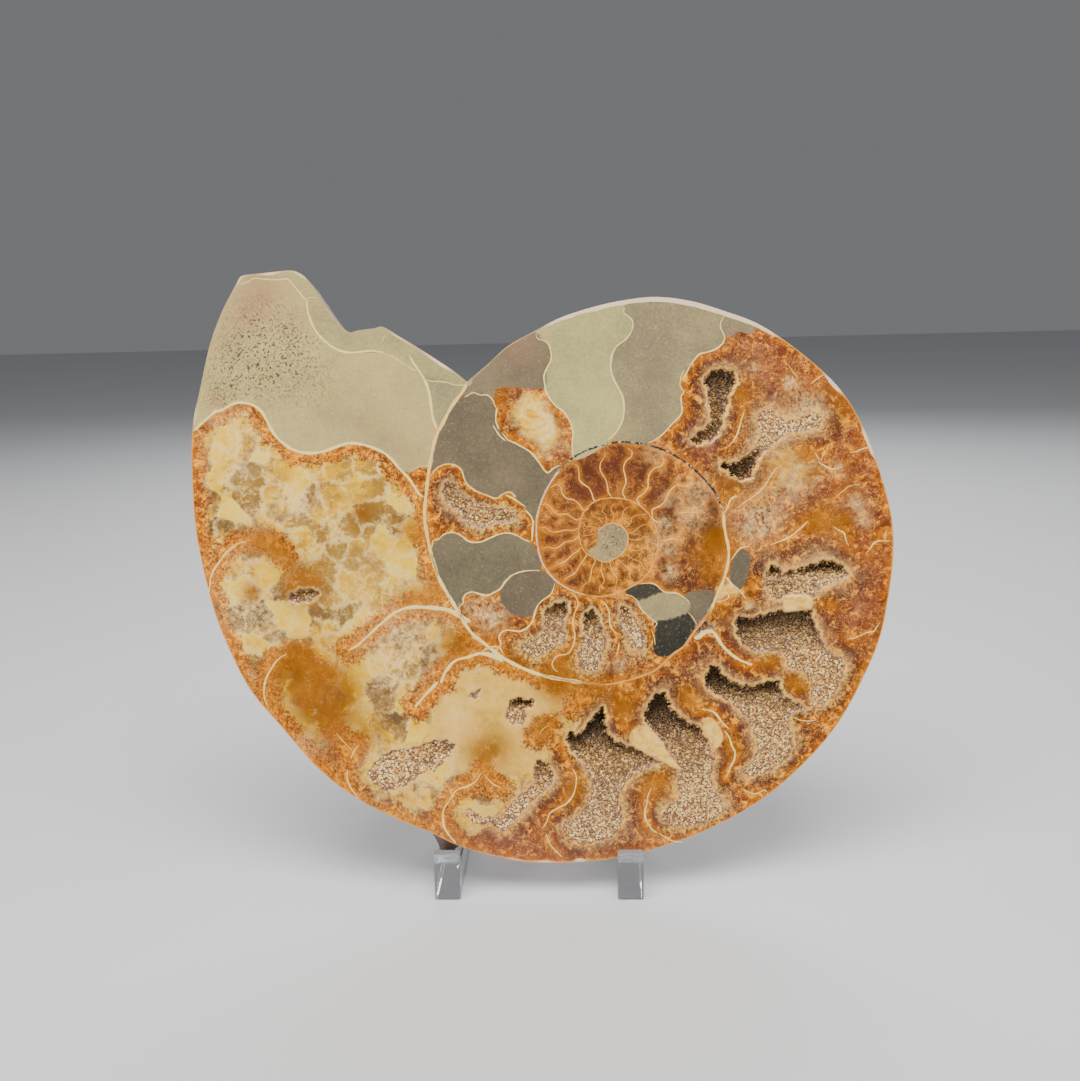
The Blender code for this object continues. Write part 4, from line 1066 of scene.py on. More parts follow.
def strip_mesh(name, strips):
    """Joins the strips: quads between neighbouring cross-sections, closed at both ends."""
    points, faces, tones, base = [], [], [], 0
    for rows, strip_tone in strips:
        n = len(rows)
        ring = base + np.arange(n * 4).reshape(n, 4)
        points.append(rows.reshape(-1, 3))
        tones.append(np.full(n * 4, strip_tone))
        for k in range(3):
            corners = [ring[:-1, k], ring[:-1, k + 1], ring[1:, k + 1], ring[1:, k]]
            faces.append(np.stack(corners, axis=1))
        faces.append(ring[:1, ::-1])
        faces.append(ring[-1:])
        base += n * 4
    points = np.vstack(points)
    return make_piece(name, world(points[:, 0], points[:, 1], points[:, 2]), np.vstack(faces),
                      {"tone": np.concatenate(tones)}, smooth=False)


strips = []
for number, (entry, line) in enumerate(zip(SEPTA, septa_curves)):
    strips.append((strip(line, entry[:3], seed=number), entry[3]))
for number, (first, last, start, end, strip_tone) in enumerate(WALL_STRETCHES):
    line = curve(face_mm(WALL_PX[first:last + 1]), 0.5)
    strips.append((strip(line, (start, (start + end) / 2, end), seed=50 + number), strip_tone))
blob_ring = np.vstack([blob_curve, blob_curve[:1]])
strips.append((strip(blob_ring[:int(len(blob_ring) * 0.72)], (0.15, 0.24, 0.15), seed=70), 0.6))
walls = strip_mesh("shell_walls", strips)
settle(walls, "polished_fossil")
print("wall strips", len(strips), "points", len(walls.data.vertices))

# %% [markdown]
# ## Druse
# The crystals of the crust stand on the sloping floor of each hollow: short six-sided points of
# calcite, close together, each turned and tilted its own way. One such point is seven places and
# six faces, and a hollow's whole crust is one mesh.

# %% Crystal crusts
FOOT_SUNK = 0.12
TIP_BELOW = -0.03
IN_EDGE = 0.15


def druse(name, pixels, size, seed):
    """Jittered triangular lattice of pyramids inside the outline. A pyramid's foot is a hexagon of
    radius r, its tip stands 0.9 to 1.7 r above and less beside the edge, and both are tilted by a
    random vector."""
    random = np.random.default_rng(seed)
    border = curve(face_mm(pixels), 0.6, closed=True)
    low, high = border.min(axis=0), border.max(axis=0)
    rows = np.arange(low[1], high[1], size * 0.86)
    columns = np.arange(low[0], high[0], size)
    grid = np.stack(np.meshgrid(columns, rows, indexing="xy"), axis=-1)
    grid[1::2, :, 0] += size / 2
    spots = grid.reshape(-1, 2) + random.uniform(-0.35, 0.35, (grid.size // 2, 2)) * size
    spots = spots[inside(spots, border)]
    depth, edge, _ = hollow_depth(spots)
    keep = edge > IN_EDGE
    spots, depth, edge = spots[keep], depth[keep], edge[keep]
    count = len(spots)
    radius_mm = size * random.uniform(0.5, 0.85, count)
    tall = radius_mm * random.uniform(0.9, 1.7, count) * smoothstep(0.0, 1.2, edge)
    turn = random.uniform(0, math.pi, count)
    angles = turn[:, None] + np.arange(6)[None] * math.pi / 3
    lean = random.normal(0, 0.28, (count, 2))
    ring_u = spots[:, :1] + radius_mm[:, None] * np.cos(angles)
    ring_v = spots[:, 1:] + radius_mm[:, None] * np.sin(angles)
    drop = (ring_u - spots[:, :1]) * lean[:, :1] + (ring_v - spots[:, 1:]) * lean[:, 1:]
    ring_w = -depth[:, None] - FOOT_SUNK - drop
    tip_u = spots[:, 0] + lean[:, 0] * tall
    tip_v = spots[:, 1] + lean[:, 1] * tall
    tip_w = np.minimum(-depth + tall, TIP_BELOW)
    u = np.concatenate([ring_u, tip_u[:, None]], axis=1).ravel()
    v = np.concatenate([ring_v, tip_v[:, None]], axis=1).ravel()
    w = np.concatenate([ring_w, tip_w[:, None]], axis=1).ravel()
    base = (np.arange(count) * 7)[:, None]
    ring = np.arange(6)
    sides = np.stack([ring, (ring + 1) % 6, np.full(6, 6)], axis=1)
    faces = (base[:, :, None] + sides[None]).reshape(-1, 3)
    vary = np.repeat(random.uniform(0, 1, count), 7)
    tip = np.tile([0, 0, 0, 0, 0, 0, 1.0], count)
    piece = make_piece(name, world(u, v, w), faces, {
        "vary": vary, "tip": tip, "depth": np.repeat(depth, 7), "edge": np.repeat(edge, 7),
        "painted_sparkle": np.repeat(patch_sum(spots, PAINTED_SPARKLE), 7)}, smooth=False)
    return piece, count


crystal_total = 0
crusts = []
for number, (name, _, _, size, pixels) in enumerate(HOLLOWS):
    in_solid = name in frame["nodes"]
    piece, count = druse(name + "_druse", pixels, size, 100 + number)
    settle(piece, "crystal_druse", *([name] if in_solid else []))
    crusts.append(piece)
    crystal_total += count
print("crystals", crystal_total)

# %% [markdown]
# ## Materials
# Small helpers keep the node trees readable: most add one node, fill its sockets and give back
# its output. A mask is a soft step between two values, and a tone is laid over a colour by a mask
# times a strength. All colour comes from noises, cells and the fields stored on the points.

# %% Node helpers
class Tree:
    """A material's node tree with short calls for the nodes that are used here."""

    def __init__(self, name):
        self.material = bpy.data.materials.new(name)
        self.material.use_nodes = True
        self.nodes = self.material.node_tree.nodes
        self.links = self.material.node_tree.links
        self.shader = self.nodes["Principled BSDF"]
        self.coords = self.nodes.new("ShaderNodeTexCoord").outputs["Object"]

    def put(self, socket, value):
        """Links an output to the socket, or sets the socket's own value."""
        if isinstance(value, bpy.types.NodeSocket):
            self.links.new(value, socket)
        elif isinstance(value, tuple) and len(value) == 3 and socket.type == "RGBA":
            socket.default_value = (*value, 1.0)
        else:
            socket.default_value = value

    def attribute(self, name):
        node = self.nodes.new("ShaderNodeAttribute")
        node.attribute_name = name
        return node.outputs["Fac"]

    def math(self, operation, a, b=0.0, clamp=False):
        node = self.nodes.new("ShaderNodeMath")
        node.operation = operation
        node.use_clamp = clamp
        for socket, value in zip(node.inputs, (a, b)):
            self.put(socket, value)
        return node.outputs[0]

    def times(self, a, b, clamp=False):
        return self.math("MULTIPLY", a, b, clamp)

    def plus(self, first, *others):
        for value in others:
            first = self.math("ADD", first, value)
        return first

    def swing(self, value, amount):
        """A noise about its middle, times the amount."""
        return self.times(self.math("SUBTRACT", value, 0.5), amount)

    def lay(self, colour, mask, strength, tone):
        """The tone laid over the colour by the mask times the strength, held to 0..1."""
        return self.mix(self.times(mask, strength), colour, tone)

    def mix(self, factor, a, b):
        node = self.nodes.new("ShaderNodeMix")
        node.data_type = "RGBA"
        self.put(node.inputs["Factor"], factor)
        self.put(node.inputs[6], a)
        self.put(node.inputs[7], b)
        return node.outputs[2]

    def grey(self, colour):
        """Lightness of a colour as one number."""
        node = self.nodes.new("ShaderNodeRGBToBW")
        self.put(node.inputs[0], colour)
        return node.outputs[0]

    def scale(self, colour, factor):
        """All three channels times the factor, held to white."""
        node = self.nodes.new("ShaderNodeMix")
        node.data_type = "RGBA"
        node.blend_type = "MULTIPLY"
        node.clamp_result = True
        self.put(node.inputs["Factor"], 1.0)
        self.put(node.inputs[6], colour)
        self.put(node.inputs[7], factor)
        return node.outputs[2]

    def mask(self, value, low, high):
        """0 at low and 1 at high, eased between them; high may be the smaller one."""
        node = self.nodes.new("ShaderNodeMapRange")
        node.interpolation_type = "SMOOTHSTEP"
        for socket, number in zip(node.inputs, (value, low, high, 0.0, 1.0)):
            self.put(socket, number)
        return node.outputs[0]

    def ramp(self, value, stops):
        """Colour by value, from stops of a place and a picture colour's three parts."""
        node = self.nodes.new("ShaderNodeValToRGB")
        elements = node.color_ramp.elements
        while len(elements) < len(stops):
            elements.new(0.5)
        for element, (place, *colour) in zip(elements, stops):
            element.position = place
            element.color = (*seen(*colour), 1.0)
        self.put(node.inputs[0], value)
        return node.outputs[0]

    def noise(self, scale, detail=3.0, rough=0.55, coords=None, distortion=0.0):
        node = self.nodes.new("ShaderNodeTexNoise")
        self.put(node.inputs["Vector"], coords or self.coords)
        self.put(node.inputs["Scale"], scale)
        self.put(node.inputs["Detail"], detail)
        self.put(node.inputs["Roughness"], rough)
        self.put(node.inputs["Distortion"], distortion)
        return node.outputs

    def voronoi(self, scale, feature, coords):
        node = self.nodes.new("ShaderNodeTexVoronoi")
        node.feature = feature
        self.put(node.inputs["Vector"], coords)
        self.put(node.inputs["Scale"], scale)
        return node.outputs

    def vector(self, operation, *values):
        node = self.nodes.new("ShaderNodeVectorMath")
        node.operation = operation
        for socket, value in zip(node.inputs, values):
            self.put(socket, value)
        return node.outputs

    def shift(self, amount, scale):
        """Object coordinates pushed about by a noise, so that cells and bands are not straight."""
        colour = self.noise(scale, 2.0)["Color"]
        return self.vector("MULTIPLY_ADD", colour, (amount, amount, amount), self.coords)["Vector"]

    def tilt(self, cells, coords, amount):
        """A slope across each cell, each in a direction of its own, like light on a cut facet: the
        way from the cell's middle, dot the cell's random colour less a half."""
        offset = self.vector("SUBTRACT", coords, cells["Position"])
        lean = self.vector("SUBTRACT", cells["Color"], (0.5, 0.5, 0.5))
        dot = self.vector("DOT_PRODUCT", offset["Vector"], lean["Vector"])
        return self.times(dot["Value"], amount)

    def combine(self, x, y, z=0.0):
        node = self.nodes.new("ShaderNodeCombineXYZ")
        for socket, value in zip(node.inputs, (x, y, z)):
            self.put(socket, value)
        return node.outputs[0]

    def bump(self, height, strength, distance):
        node = self.nodes.new("ShaderNodeBump")
        self.put(node.inputs["Height"], height)
        node.inputs["Strength"].default_value = strength
        node.inputs["Distance"].default_value = distance
        return node.outputs[0]

    def finish(self, **sockets):
        """Fills the shader's sockets, named with low lines for spaces."""
        for name, value in sockets.items():
            self.put(self.shader.inputs[name.replace("_", " ")], value)
        return self.material


print("node helpers", sum(callable(value) for value in vars(Tree).values()))

# %% [markdown]
# ### From a colour in the picture to a surface colour
# The film turns light into picture colours by a curve that mixes the channels. The table holds
# some of that curve's points, and the colours below are named as they should look: they are
# worked back through the curve and divided by the light that falls on the face.

# %% Colours as they should look
CURVE_TONE = (0, .085, .119, .171, .268, .376, .491, .591, .684, .755, .814, .859, .911)
CURVE_LIGHT = (
    .0001, .0053, .0101, .0205, .0503, .1015, .1814, .2974, .5036, .8119, 1.2728, 1.973, 3.5)
UNMIX_TONE = np.array(((.631, .182, .187), (.252, .748, 0), (.339, .202, .459)))
UNMIX_LIGHT = np.array(((3.247, -.757, -1.49), (-.508, 1.36, .148), (-.585, -.349, 1.934)))
LIGHT_ON_FACE = 1.9
BRIGHTEST_SURFACE = 0.92


def light_for(colour):
    """Light that the film turns into this colour, 0 to 255 a channel: the channels are unmixed,
    read backwards through the film's curve and unmixed again."""
    value = np.asarray(colour) / 255
    linear = np.where(value <= .04045, value / 12.92, ((value + .055) / 1.055) ** 2.4)
    tone = UNMIX_TONE @ linear ** (1 / 2.4)
    return UNMIX_LIGHT @ np.exp(np.interp(tone, CURVE_TONE, np.log(CURVE_LIGHT)))


def seen(r, g, b):
    """Surface colour for a colour as it should look in the picture: the light for it over the
    light that falls on the face. What is too bright for a surface is darkened step by step."""
    colour = np.array((r, g, b), dtype=float)
    while light_for(colour).max() > BRIGHTEST_SURFACE * LIGHT_ON_FACE:
        colour = colour * 0.99
    return tuple(float(v) for v in np.clip(light_for(colour) / LIGHT_ON_FACE, 0.002, 1.0))


print("surface for middle grey", [round(v, 3) for v in seen(128, 128, 128)])


# %% [markdown]
# ### The polished face
# Two ramps of colour are mixed. Near a hollow the colour follows the share of the way from the
# nearest wall to the hollow's edge: amber at the wall, rust, mauve-brown, then tan. Far from any
# hollow it follows the plain distance to the wall. Both are roughened by noise, and close to the
# walls the calcite is fibrous, so a noise is stretched across the wall.

# %% Noises that several steps of the face read
class FaceTree(Tree):
    """The face's node tree, with its shared noises and fields already made."""

    def __init__(self, name):
        super().__init__(name)
        self.cloud = self.noise(95.0, 4.0, 0.6)["Fac"]
        self.middle_cloud = self.noise(210.0, 4.0, 0.6, distortion=0.6)["Fac"]
        self.fine_cloud = self.noise(420.0, 4.0, 0.65)["Fac"]
        self.streaks = self.noise(230.0, 5.0, 0.65, distortion=1.6)["Fac"]
        self.grain = self.noise(1500.0, 3.0, 0.7)["Fac"]
        self.band = self.attribute("band")
        self.hollow = self.attribute("hollow")
        self.in_mud = self.mask(self.attribute("mud"), -0.12, 0.12)
        self.in_inner = self.mask(self.attribute("inner"), -0.2, 0.2)


print("noises shared by the face's steps: cloud, middle_cloud, fine_cloud, streaks, grain")


# %% Bands of colour between the walls and the hollows
def banded_colour(t):
    """Colour by the way from the wall, x / (x + gap to the hollow + 0.4), or by x alone where no
    hollow is near; x is the roughened distance to the wall, which is returned too."""
    fibre_place = t.combine(t.times(t.attribute("along"), 2.0), t.times(t.band, 0.5))
    fibre = t.noise(1.0, 3.0, 0.6, fibre_place)["Fac"]
    wobble = t.plus(t.swing(t.cloud, 3.2), t.swing(t.middle_cloud, 4.6), t.swing(t.fine_cloud, 4.2))
    deep = t.plus(t.band, wobble, t.times(t.swing(fibre, 1.6), t.mask(t.band, 6.0, 2.5)))
    far = t.ramp(t.math("DIVIDE", deep, 12.0), [
        (0.00, 206, 130, 40), (0.08, 198, 112, 28), (0.20, 176, 90, 34), (0.34, 164, 90, 46),
        (0.50, 172, 108, 66), (0.70, 188, 138, 96), (1.00, 206, 166, 120)])
    out_in = t.times(t.hollow, -1.0)
    out_shift = t.swing(t.middle_cloud, t.times(t.mask(out_in, 0.0, 2.0), 4.0))
    out = t.math("MAXIMUM", t.plus(out_in, out_shift), 0.0)
    inward = t.math("MAXIMUM", deep, 0.0)
    way = t.math("DIVIDE", inward, t.plus(inward, t.plus(out, 0.4)))
    near = t.ramp(way, [
        (0.00, 206, 130, 36), (0.18, 194, 108, 26), (0.36, 162, 82, 30), (0.50, 134, 84, 50),
        (0.64, 150, 108, 74), (0.78, 176, 138, 94), (0.90, 196, 160, 108), (1.00, 208, 176, 120)])
    return t.mix(t.mask(out, 8.6, 4.0), far, near), deep


def speckled(t, colour):
    """Fine dark dirt, pale flares and soft shade, each from a noise of its own size."""
    dirt = t.mask(t.noise(700.0, 4.0, 0.7)["Fac"], 0.52, 0.34)
    colour = t.lay(colour, dirt, 0.55, seen(112, 56, 26))
    flare = t.mask(t.noise(520.0, 5.0, 0.7, distortion=0.8)["Fac"], 0.50, 0.64)
    colour = t.lay(colour, flare, 0.72, seen(236, 186, 116))
    shade = t.mask(t.noise(260.0, 5.0, 0.65, distortion=1.2)["Fac"], 0.50, 0.36)
    return t.lay(colour, shade, 0.68, seen(112, 56, 28))


print("steps made: banded_colour, speckled")

# %% [markdown]
# The big left chambers are clear calcite. Its large cells each have a tone and a slope of light of
# their own, and their edges are feathered white: the distance to the cell's edge plus a noise,
# cut off where it is small. A few round patches below the middle show no cells: they are cloudy.

# %% Clear calcite
CELL_SCALE = 150.0
FACET_SCALE = 400.0


def clear_calcite(t, deep):
    """Colour of the clear calcite, where it lies, and where its white edges lie."""
    place = t.shift(0.0034, 300.0)
    cells = t.voronoi(CELL_SCALE, "F1", place)
    facets = t.voronoi(FACET_SCALE, "F1", place)
    veins = t.voronoi(CELL_SCALE, "DISTANCE_TO_EDGE", place)["Distance"]
    cracks = t.voronoi(FACET_SCALE, "DISTANCE_TO_EDGE", place)["Distance"]
    value = t.plus(t.times(cells["Color"], 0.50), t.times(t.streaks, 0.30))
    value = t.plus(value, t.tilt(cells, place, CELL_SCALE * 0.34))
    value = t.plus(value, t.tilt(facets, place, FACET_SCALE * 0.16))
    mosaic = t.ramp(value, [
        (0.20, 128, 98, 50), (0.30, 176, 138, 74), (0.39, 220, 182, 100), (0.49, 236, 202, 116),
        (0.62, 244, 222, 160)])
    olive = t.times(t.attribute("olive"), t.mask(value, 0.62, 0.40), clamp=True)
    mosaic = t.lay(mosaic, olive, 0.5, seen(200, 160, 84))
    cloudy = t.mask(t.attribute("smooth"), 0.2, 0.8)
    cloudy_tone = t.ramp(t.plus(t.times(t.cloud, 0.6), t.times(t.fine_cloud, 0.4)), [
        (0.30, 182, 150, 92), (0.48, 212, 184, 124), (0.66, 226, 204, 156)])
    mosaic = t.mix(cloudy, mosaic, cloudy_tone)
    deep_rough = t.plus(t.swing(t.grain, 5.0), deep)
    where = t.times(t.mask(t.attribute("calcite"), -0.3, 0.3), t.mask(deep_rough, 3.0, 4.4))

    feather = t.swing(t.noise(800.0, 4.0, 0.75)["Fac"], 0.55)
    vein_mask = t.times(t.mask(t.plus(veins, feather), 0.13, 0.02), t.mask(t.middle_cloud, 0.36, 0.58))
    crack_mask = t.times(t.mask(t.plus(cracks, feather), 0.08, 0.0), t.mask(t.streaks, 0.46, 0.60))
    white = t.math("MAXIMUM", vein_mask, t.times(crack_mask, 0.8))
    white = t.times(t.times(white, where), t.mask(cloudy, 1.0, 0.3))
    return mosaic, where, white


print("calcite cells about", round(1000 / CELL_SCALE, 1), "mm across, facets",
      round(1000 / FACET_SCALE, 1), "mm")


# %% Inner whorls
def inner_colour(t):
    """Rust to amber by noise, brown in the middle of a chamber, amber beside its septa."""
    tone = t.ramp(t.plus(t.times(t.cloud, 0.5), t.times(t.fine_cloud, 0.5)), [
        (0.39, 108, 56, 28), (0.48, 152, 86, 38), (0.55, 198, 128, 54), (0.65, 236, 190, 124)])
    tone = t.lay(tone, t.mask(t.band, 1.6, 0.3), 0.55, seen(214, 148, 66))
    brown_spots = t.times(t.mask(t.band, 0.5, 1.6), t.mask(t.middle_cloud, 0.52, 0.40))
    tone = t.lay(tone, brown_spots, 0.7, seen(120, 64, 30))
    first_tone = t.ramp(t.fine_cloud, [(0.36, 128, 72, 28), (0.5, 178, 112, 42), (0.64, 216, 158, 76)])
    return t.lay(tone, t.mask(t.attribute("first"), -0.2, 0.2), 0.8, first_tone)


# %% Patches: threads, rust, pale, amber, glow and glints
def patches(t, colour, in_calcite):
    """Lays the soft patches over the bands, each broken up by a noise."""
    thread_noise = t.noise(330.0, 4.0, 0.6, distortion=1.8)["Fac"]
    thread_gap = t.math("ABSOLUTE", t.math("SUBTRACT", thread_noise, 0.5))
    thread = t.times(t.mask(thread_gap, 0.020, 0.006), t.mask(t.middle_cloud, 0.42, 0.56))
    thread = t.times(thread, t.mask(in_calcite, 0.8, 0.2))
    colour = t.lay(colour, thread, 0.7, seen(240, 204, 150))
    rust = t.times(t.attribute("rust"), t.mask(t.middle_cloud, 0.30, 0.56))
    rust_tone = t.mix(t.in_inner, seen(172, 92, 46), seen(112, 52, 26))
    colour = t.lay(colour, rust, 0.62, rust_tone)
    pale_noise = t.noise(1000.0, 4.0, 0.75)["Fac"]
    pale_grain = t.plus(t.times(t.mask(t.streaks, 0.40, 0.60), 0.45),
                        t.times(t.mask(pale_noise, 0.44, 0.58), 0.65))
    pale = t.times(t.attribute("pale"), pale_grain, clamp=True)
    colour = t.lay(colour, pale, 0.8, seen(244, 228, 192))
    amber = t.times(t.attribute("amber"), t.mask(t.fine_cloud, 0.20, 0.52), clamp=True)
    amber_tone = t.ramp(t.cloud, [(0.3, 156, 88, 12), (0.52, 188, 110, 14), (0.8, 218, 148, 40)])
    colour = t.lay(colour, amber, 0.9, amber_tone)
    glow = t.mask(t.plus(t.attribute("glow"), t.swing(t.fine_cloud, 1.0)), 0.15, 0.85)
    glow_tone = t.ramp(t.streaks, [(0.36, 214, 170, 100), (0.48, 238, 208, 144), (0.60, 250, 236, 196)])
    colour = t.mix(glow, colour, glow_tone)
    glint = t.times(t.mask(t.noise(2400.0, 2.0, 0.6)["Fac"], 0.58, 0.68), t.mask(t.cloud, 0.42, 0.60))
    return t.lay(colour, glint, 0.5, seen(236, 206, 164))


# %% Mud
def mud_colour(t):
    """Brown and greenish ramps by the chamber's tone and two noises, then blush, black and white
    grit."""
    mottle = t.noise(60.0, 5.0, 0.65)["Fac"]
    value = t.plus(t.attribute("tone"), t.swing(mottle, 0.30), t.swing(t.grain, 0.22))
    brown = t.ramp(value, [
        (0.15, 48, 46, 38), (0.45, 126, 113, 84), (0.60, 162, 147, 112), (0.85, 200, 186, 146)])
    greenish = t.ramp(value, [
        (0.15, 46, 51, 42), (0.45, 124, 121, 92), (0.60, 162, 157, 120), (0.85, 204, 200, 160)])
    colour = t.mix(t.attribute("green"), brown, greenish)
    colour = t.lay(colour, t.attribute("blush"), 0.7, seen(184, 154, 118))
    grit = t.attribute("grit")
    grit_noise = t.noise(1650.0, 2.0, 0.5)["Fac"]
    colour = t.lay(colour, t.times(t.mask(grit_noise, 0.475, 0.36), grit), 0.7, seen(62, 58, 48))
    white_grit = t.times(t.mask(grit_noise, 0.62, 0.70), t.plus(grit, 0.35))
    return t.lay(colour, white_grit, 0.5, seen(206, 198, 170))


# %% Edges: the lips of the hollows, plugs, floors and the rim
def edge_colours(t, colour):
    """What borders on something else is laid on last, over bands and mud alike."""
    floor_in = t.attribute("floor")
    lip = t.mask(t.plus(t.hollow, t.swing(t.fine_cloud, 1.2)), -1.1, -0.35)
    crisp = t.plus(0.10, t.times(t.mask(floor_in, 0.6, 2.4), 0.62))
    crisp = t.times(crisp, t.plus(t.times(t.mask(t.middle_cloud, 0.36, 0.60), 0.75), 0.35))
    colour = t.lay(colour, lip, crisp, seen(232, 208, 152))
    sparkle = t.mask(t.noise(1300.0, 3.0, 0.7)["Fac"], 0.47, 0.58)
    dust_reach = t.plus(t.swing(t.middle_cloud, 6.0), t.hollow)
    dust = t.times(t.mask(dust_reach, -2.6, -0.3), t.mask(floor_in, 1.6, 0.6))
    colour = t.lay(colour, t.times(dust, sparkle), 0.65, seen(232, 208, 154))
    plug_tone = t.ramp(t.fine_cloud, [
        (0.35, 206, 172, 112), (0.5, 226, 200, 146), (0.65, 238, 220, 176)])
    colour = t.mix(t.mask(t.attribute("plug"), -0.3, 0.3), colour, plug_tone)
    # The floor's own brown where shallow, darkened towards near black where deep: painted shade in the
    # hollows.
    floor_with_painted_shade = t.mix(t.mask(t.attribute("depth"), 0.6, 3.4), seen(140, 98, 72), seen(46, 24, 18))
    colour = t.mix(t.mask(t.hollow, -0.15, 0.35), colour, floor_with_painted_shade)
    white_in = t.attribute("rim_white")
    rim_wide = t.plus(0.30, t.times(white_in, 0.85))
    rim_at = t.math("SUBTRACT", t.plus(t.attribute("rim"), t.times(t.fine_cloud, 0.5)), rim_wide)
    rim_plain = t.mix(t.in_mud, seen(214, 170, 112), seen(190, 174, 140))
    rim_tone = t.mix(t.mask(white_in, 0.2, 0.7), rim_plain, seen(232, 222, 204))
    return t.lay(colour, t.mask(rim_at, 0.30, 0.10), 0.85, rim_tone)


# %% [markdown]
# The steps are now put together. Halfway, the lightness is spread: the colour is multiplied by its
# own lightness over a middle grey, to a power, so dark parts sink and light parts rise.

# %% Face material
MIDDLE_GREY = 0.14
SPREAD_POWER = 0.38


def face_material():
    t = FaceTree("polished_face")
    colour, deep = banded_colour(t)
    colour = speckled(t, colour)
    mosaic, in_calcite, white_edges = clear_calcite(t, deep)
    rim_grains = t.times(t.mask(t.attribute("calcite"), -0.3, 0.3), t.mask(t.grain, 0.44, 0.60))
    colour = t.lay(colour, rim_grains, 0.42, seen(232, 182, 112))
    colour = t.lay(colour, t.in_inner, 0.92, inner_colour(t))
    light = t.math("DIVIDE", t.grey(colour), MIDDLE_GREY)
    colour = t.scale(colour, t.math("POWER", light, SPREAD_POWER))
    colour = t.mix(in_calcite, colour, mosaic)
    colour = t.lay(colour, white_edges, 0.66, seen(248, 234, 192))
    colour = patches(t, colour, in_calcite)
    colour = t.mix(t.in_mud, colour, mud_colour(t))
    colour = edge_colours(t, colour)
    in_hollow = t.mask(t.hollow, -0.4, 0.5)
    relief = t.times(in_hollow, t.noise(2600.0, 3.0, 0.7)["Fac"])
    polish = t.plus(0.12, t.times(t.plus(t.in_mud, t.grain), 0.12))
    rough = t.plus(t.times(in_hollow, 0.3), polish)
    return t.finish(Base_Color=colour, Roughness=rough, Specular_IOR_Level=0.4, IOR=1.5,
                    Coat_Weight=0.2, Coat_Roughness=0.05, Normal=t.bump(relief, 0.5, 0.0004))


face_look = face_material()
face.data.materials.append(face_look)
print("nodes in the face's material", len(face_look.node_tree.nodes))


# %% Shell wall material
def wall_material():
    t = Tree("shell_wall")
    tone_in = t.attribute("tone")
    speck = t.noise(1100.0, 4.0, 0.7)["Fac"]
    crusty = t.plus(0.30, t.times(t.mask(tone_in, 0.35, 0.1), 0.9))
    colour = t.ramp(t.plus(tone_in, t.swing(speck, crusty)), [
        (0.05, 48, 42, 36), (0.17, 100, 90, 76), (0.26, 214, 202, 180), (0.38, 206, 160, 110),
        (0.55, 226, 190, 134), (0.75, 236, 214, 166), (0.98, 242, 230, 190)])
    return t.finish(Base_Color=colour, Roughness=0.32, Coat_Weight=0.3, Coat_Roughness=0.06)


walls.data.materials.append(wall_material())
print("walls finished:", len(strips), "strips in one material")


# %% Druse material
def druse_material():
    t = Tree("calcite_druse")
    depth_in = t.attribute("depth")
    vary = t.attribute("vary")
    patchy = t.plus(t.times(vary, 0.8), t.times(t.noise(90.0, 3.0, 0.6)["Fac"], 0.3))
    light = t.ramp(patchy, [
        (0.12, 112, 80, 52), (0.42, 150, 114, 76), (0.68, 192, 156, 104), (0.88, 250, 230, 176)])
    # The dark copy below is painted shade for crystals that lie deep in a hollow.
    dark = t.ramp(vary, [(0.0, 44, 28, 22), (0.6, 88, 62, 48), (1.0, 152, 122, 98)])
    # The bright copy is painted light, for crystals near the polish and in the painted sparkle patches.
    bright = t.ramp(patchy, [
        (0.12, 130, 94, 64), (0.36, 182, 146, 104), (0.60, 228, 200, 148), (0.80, 254, 244, 210)])
    shallow = t.times(t.mask(t.attribute("edge"), 2.6, 0.6), t.mask(depth_in, 1.2, 0.5))
    light = t.mix(t.plus(t.times(shallow, 0.4), t.attribute("painted_sparkle")), light, bright)
    # Painted shade: the deeper the crystals sit in the hollow, the more of the dark copy they take.
    colour = t.mix(t.mask(depth_in, 0.8, 4.4), light, dark)
    colour = t.lay(colour, t.attribute("tip"), 0.30, seen(236, 216, 178))
    return t.finish(Base_Color=colour, Roughness=0.28, Specular_IOR_Level=0.5, IOR=1.55,
                    Coat_Weight=0.08, Coat_Roughness=0.1)


druse_look = druse_material()
for piece in crusts:
    piece.data.materials.append(druse_look)
print("crusts finished:", len(crusts))


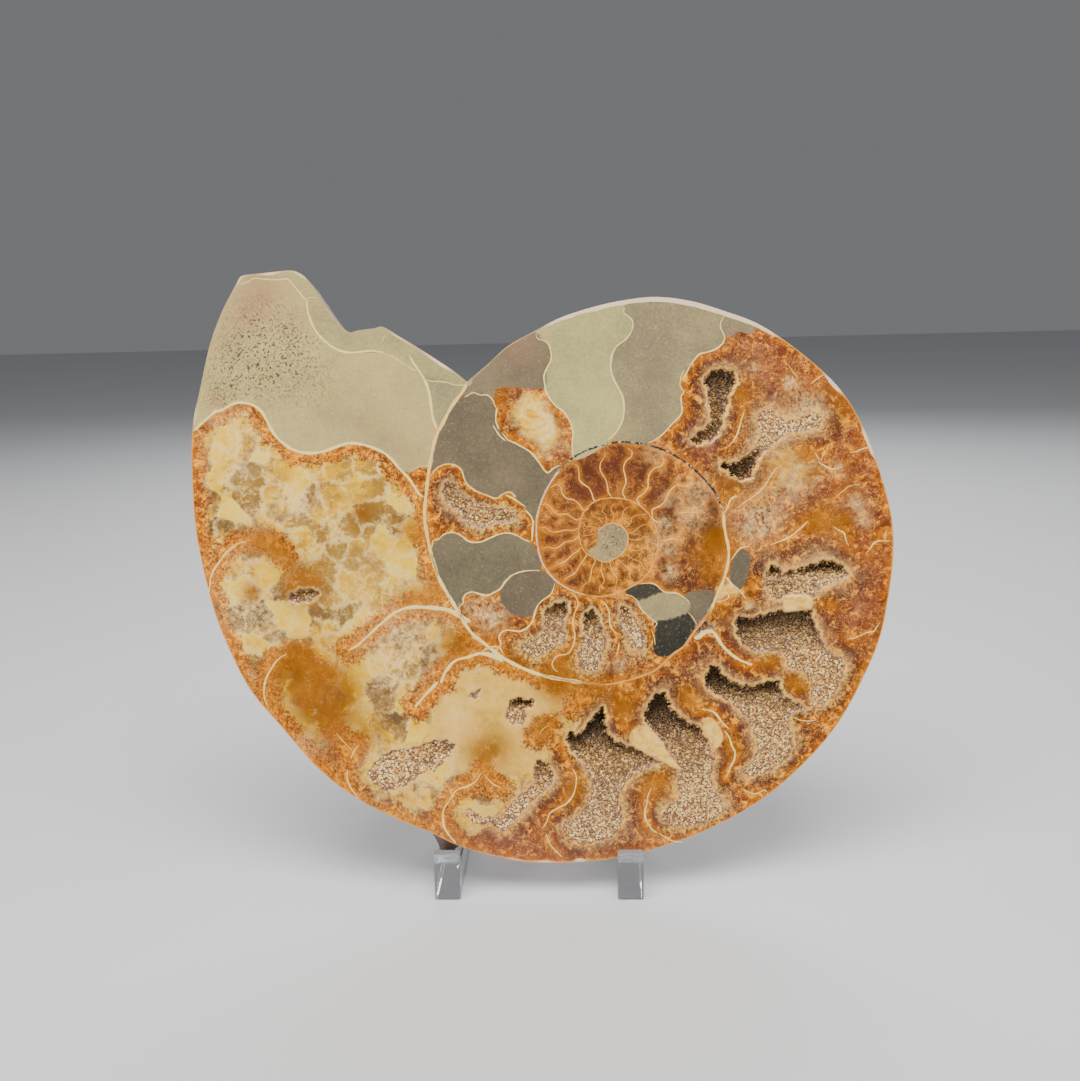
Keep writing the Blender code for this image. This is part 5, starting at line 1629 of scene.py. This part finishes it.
# %% Natural outside material
def outside_material():
    t = Tree("natural_outside")
    cloud = t.noise(70.0, 5.0, 0.6)["Fac"]
    fine_cloud = t.noise(600.0, 4.0, 0.65)["Fac"]
    shell = t.ramp(t.plus(t.times(cloud, 0.8), t.times(fine_cloud, 0.25)), [
        (0.30, 108, 66, 40), (0.45, 150, 104, 66), (0.58, 186, 150, 108), (0.75, 210, 188, 156)])
    pearl = t.ramp(t.noise(45.0, 3.0, 0.5, distortion=1.2)["Fac"], [
        (0.35, 176, 134, 100), (0.5, 214, 190, 160), (0.65, 166, 96, 60)])
    colour = t.lay(shell, t.attribute("scar"), 0.7, pearl)
    line = t.math("FRACT", t.plus(t.attribute("suture"), t.times(fine_cloud, 0.06)))
    gap = t.math("MINIMUM", line, t.math("SUBTRACT", 1.0, line))
    suture_mask = t.times(t.mask(gap, 0.065, 0.03), t.mask(t.attribute("share"), 0.24, 0.34))
    colour = t.lay(colour, suture_mask, 0.6, seen(84, 50, 32))
    rim_in = t.attribute("rim")
    colour = t.mix(t.mask(rim_in, 3.0, 0.5), colour, seen(160, 118, 78))
    # Painted shade: the heel, low down where the stone rests on the seat, is darkened to a shadowed brown.
    colour = t.lay(colour, t.attribute("heel"), 0.9, seen(104, 78, 56))
    broken = t.mix(fine_cloud, seen(120, 110, 92), seen(196, 186, 160))
    colour = t.lay(colour, t.attribute("broken"), t.mask(rim_in, 1.5, 0.3), broken)
    relief = t.plus(t.times(fine_cloud, 0.6), t.times(suture_mask, -0.5))
    rough = t.plus(t.times(fine_cloud, 0.35), 0.28)
    return t.finish(Base_Color=colour, Roughness=rough, Coat_Weight=0.12, Coat_Roughness=0.2,
                    Normal=t.bump(relief, 0.5, 0.0005))


back.data.materials.append(outside_material())
print("outside finished")


# %% [markdown]
# ## The clear easel
# The solid's own frames and bars have the right shape, so they stay and get a clear plastic:
# mostly transmission with an index near the plastic's, so that their edges bend and mirror light
# as the real ones do, a little plain surface so that no edge turns black, and a faint haze.

# %% Clear plastic
def clear_material():
    t = Tree("clear_plastic")
    rough = t.times(t.mask(t.noise(900.0, 3.0, 0.7)["Fac"], 0.5, 0.8), 0.10)
    waves = t.bump(t.noise(160.0, 2.0, 0.5)["Fac"], 0.15, 0.0003)
    return t.finish(Base_Color=(0.80, 0.82, 0.86), Roughness=rough, IOR=1.45,
                    Transmission_Weight=0.80, Normal=waves)


clear = clear_material()
EASEL_NODES = ("easel_left", "easel_right", "easel_bar_upper", "easel_bar_lower")
for name in EASEL_NODES:
    node = frame["nodes"][name]
    node.data.materials.clear()
    node.data.materials.append(clear)
print("clear easel pieces", len(EASEL_NODES))


# %% Floor finish
def floor_material():
    t = Tree("pale_floor")
    colour = t.mix(t.noise(6.0, 4.0, 0.6)["Fac"], (0.62, 0.63, 0.65), (0.68, 0.69, 0.70))
    return t.finish(Base_Color=colour, Roughness=0.55)


floor.data.materials.append(floor_material())
print("floor finished")
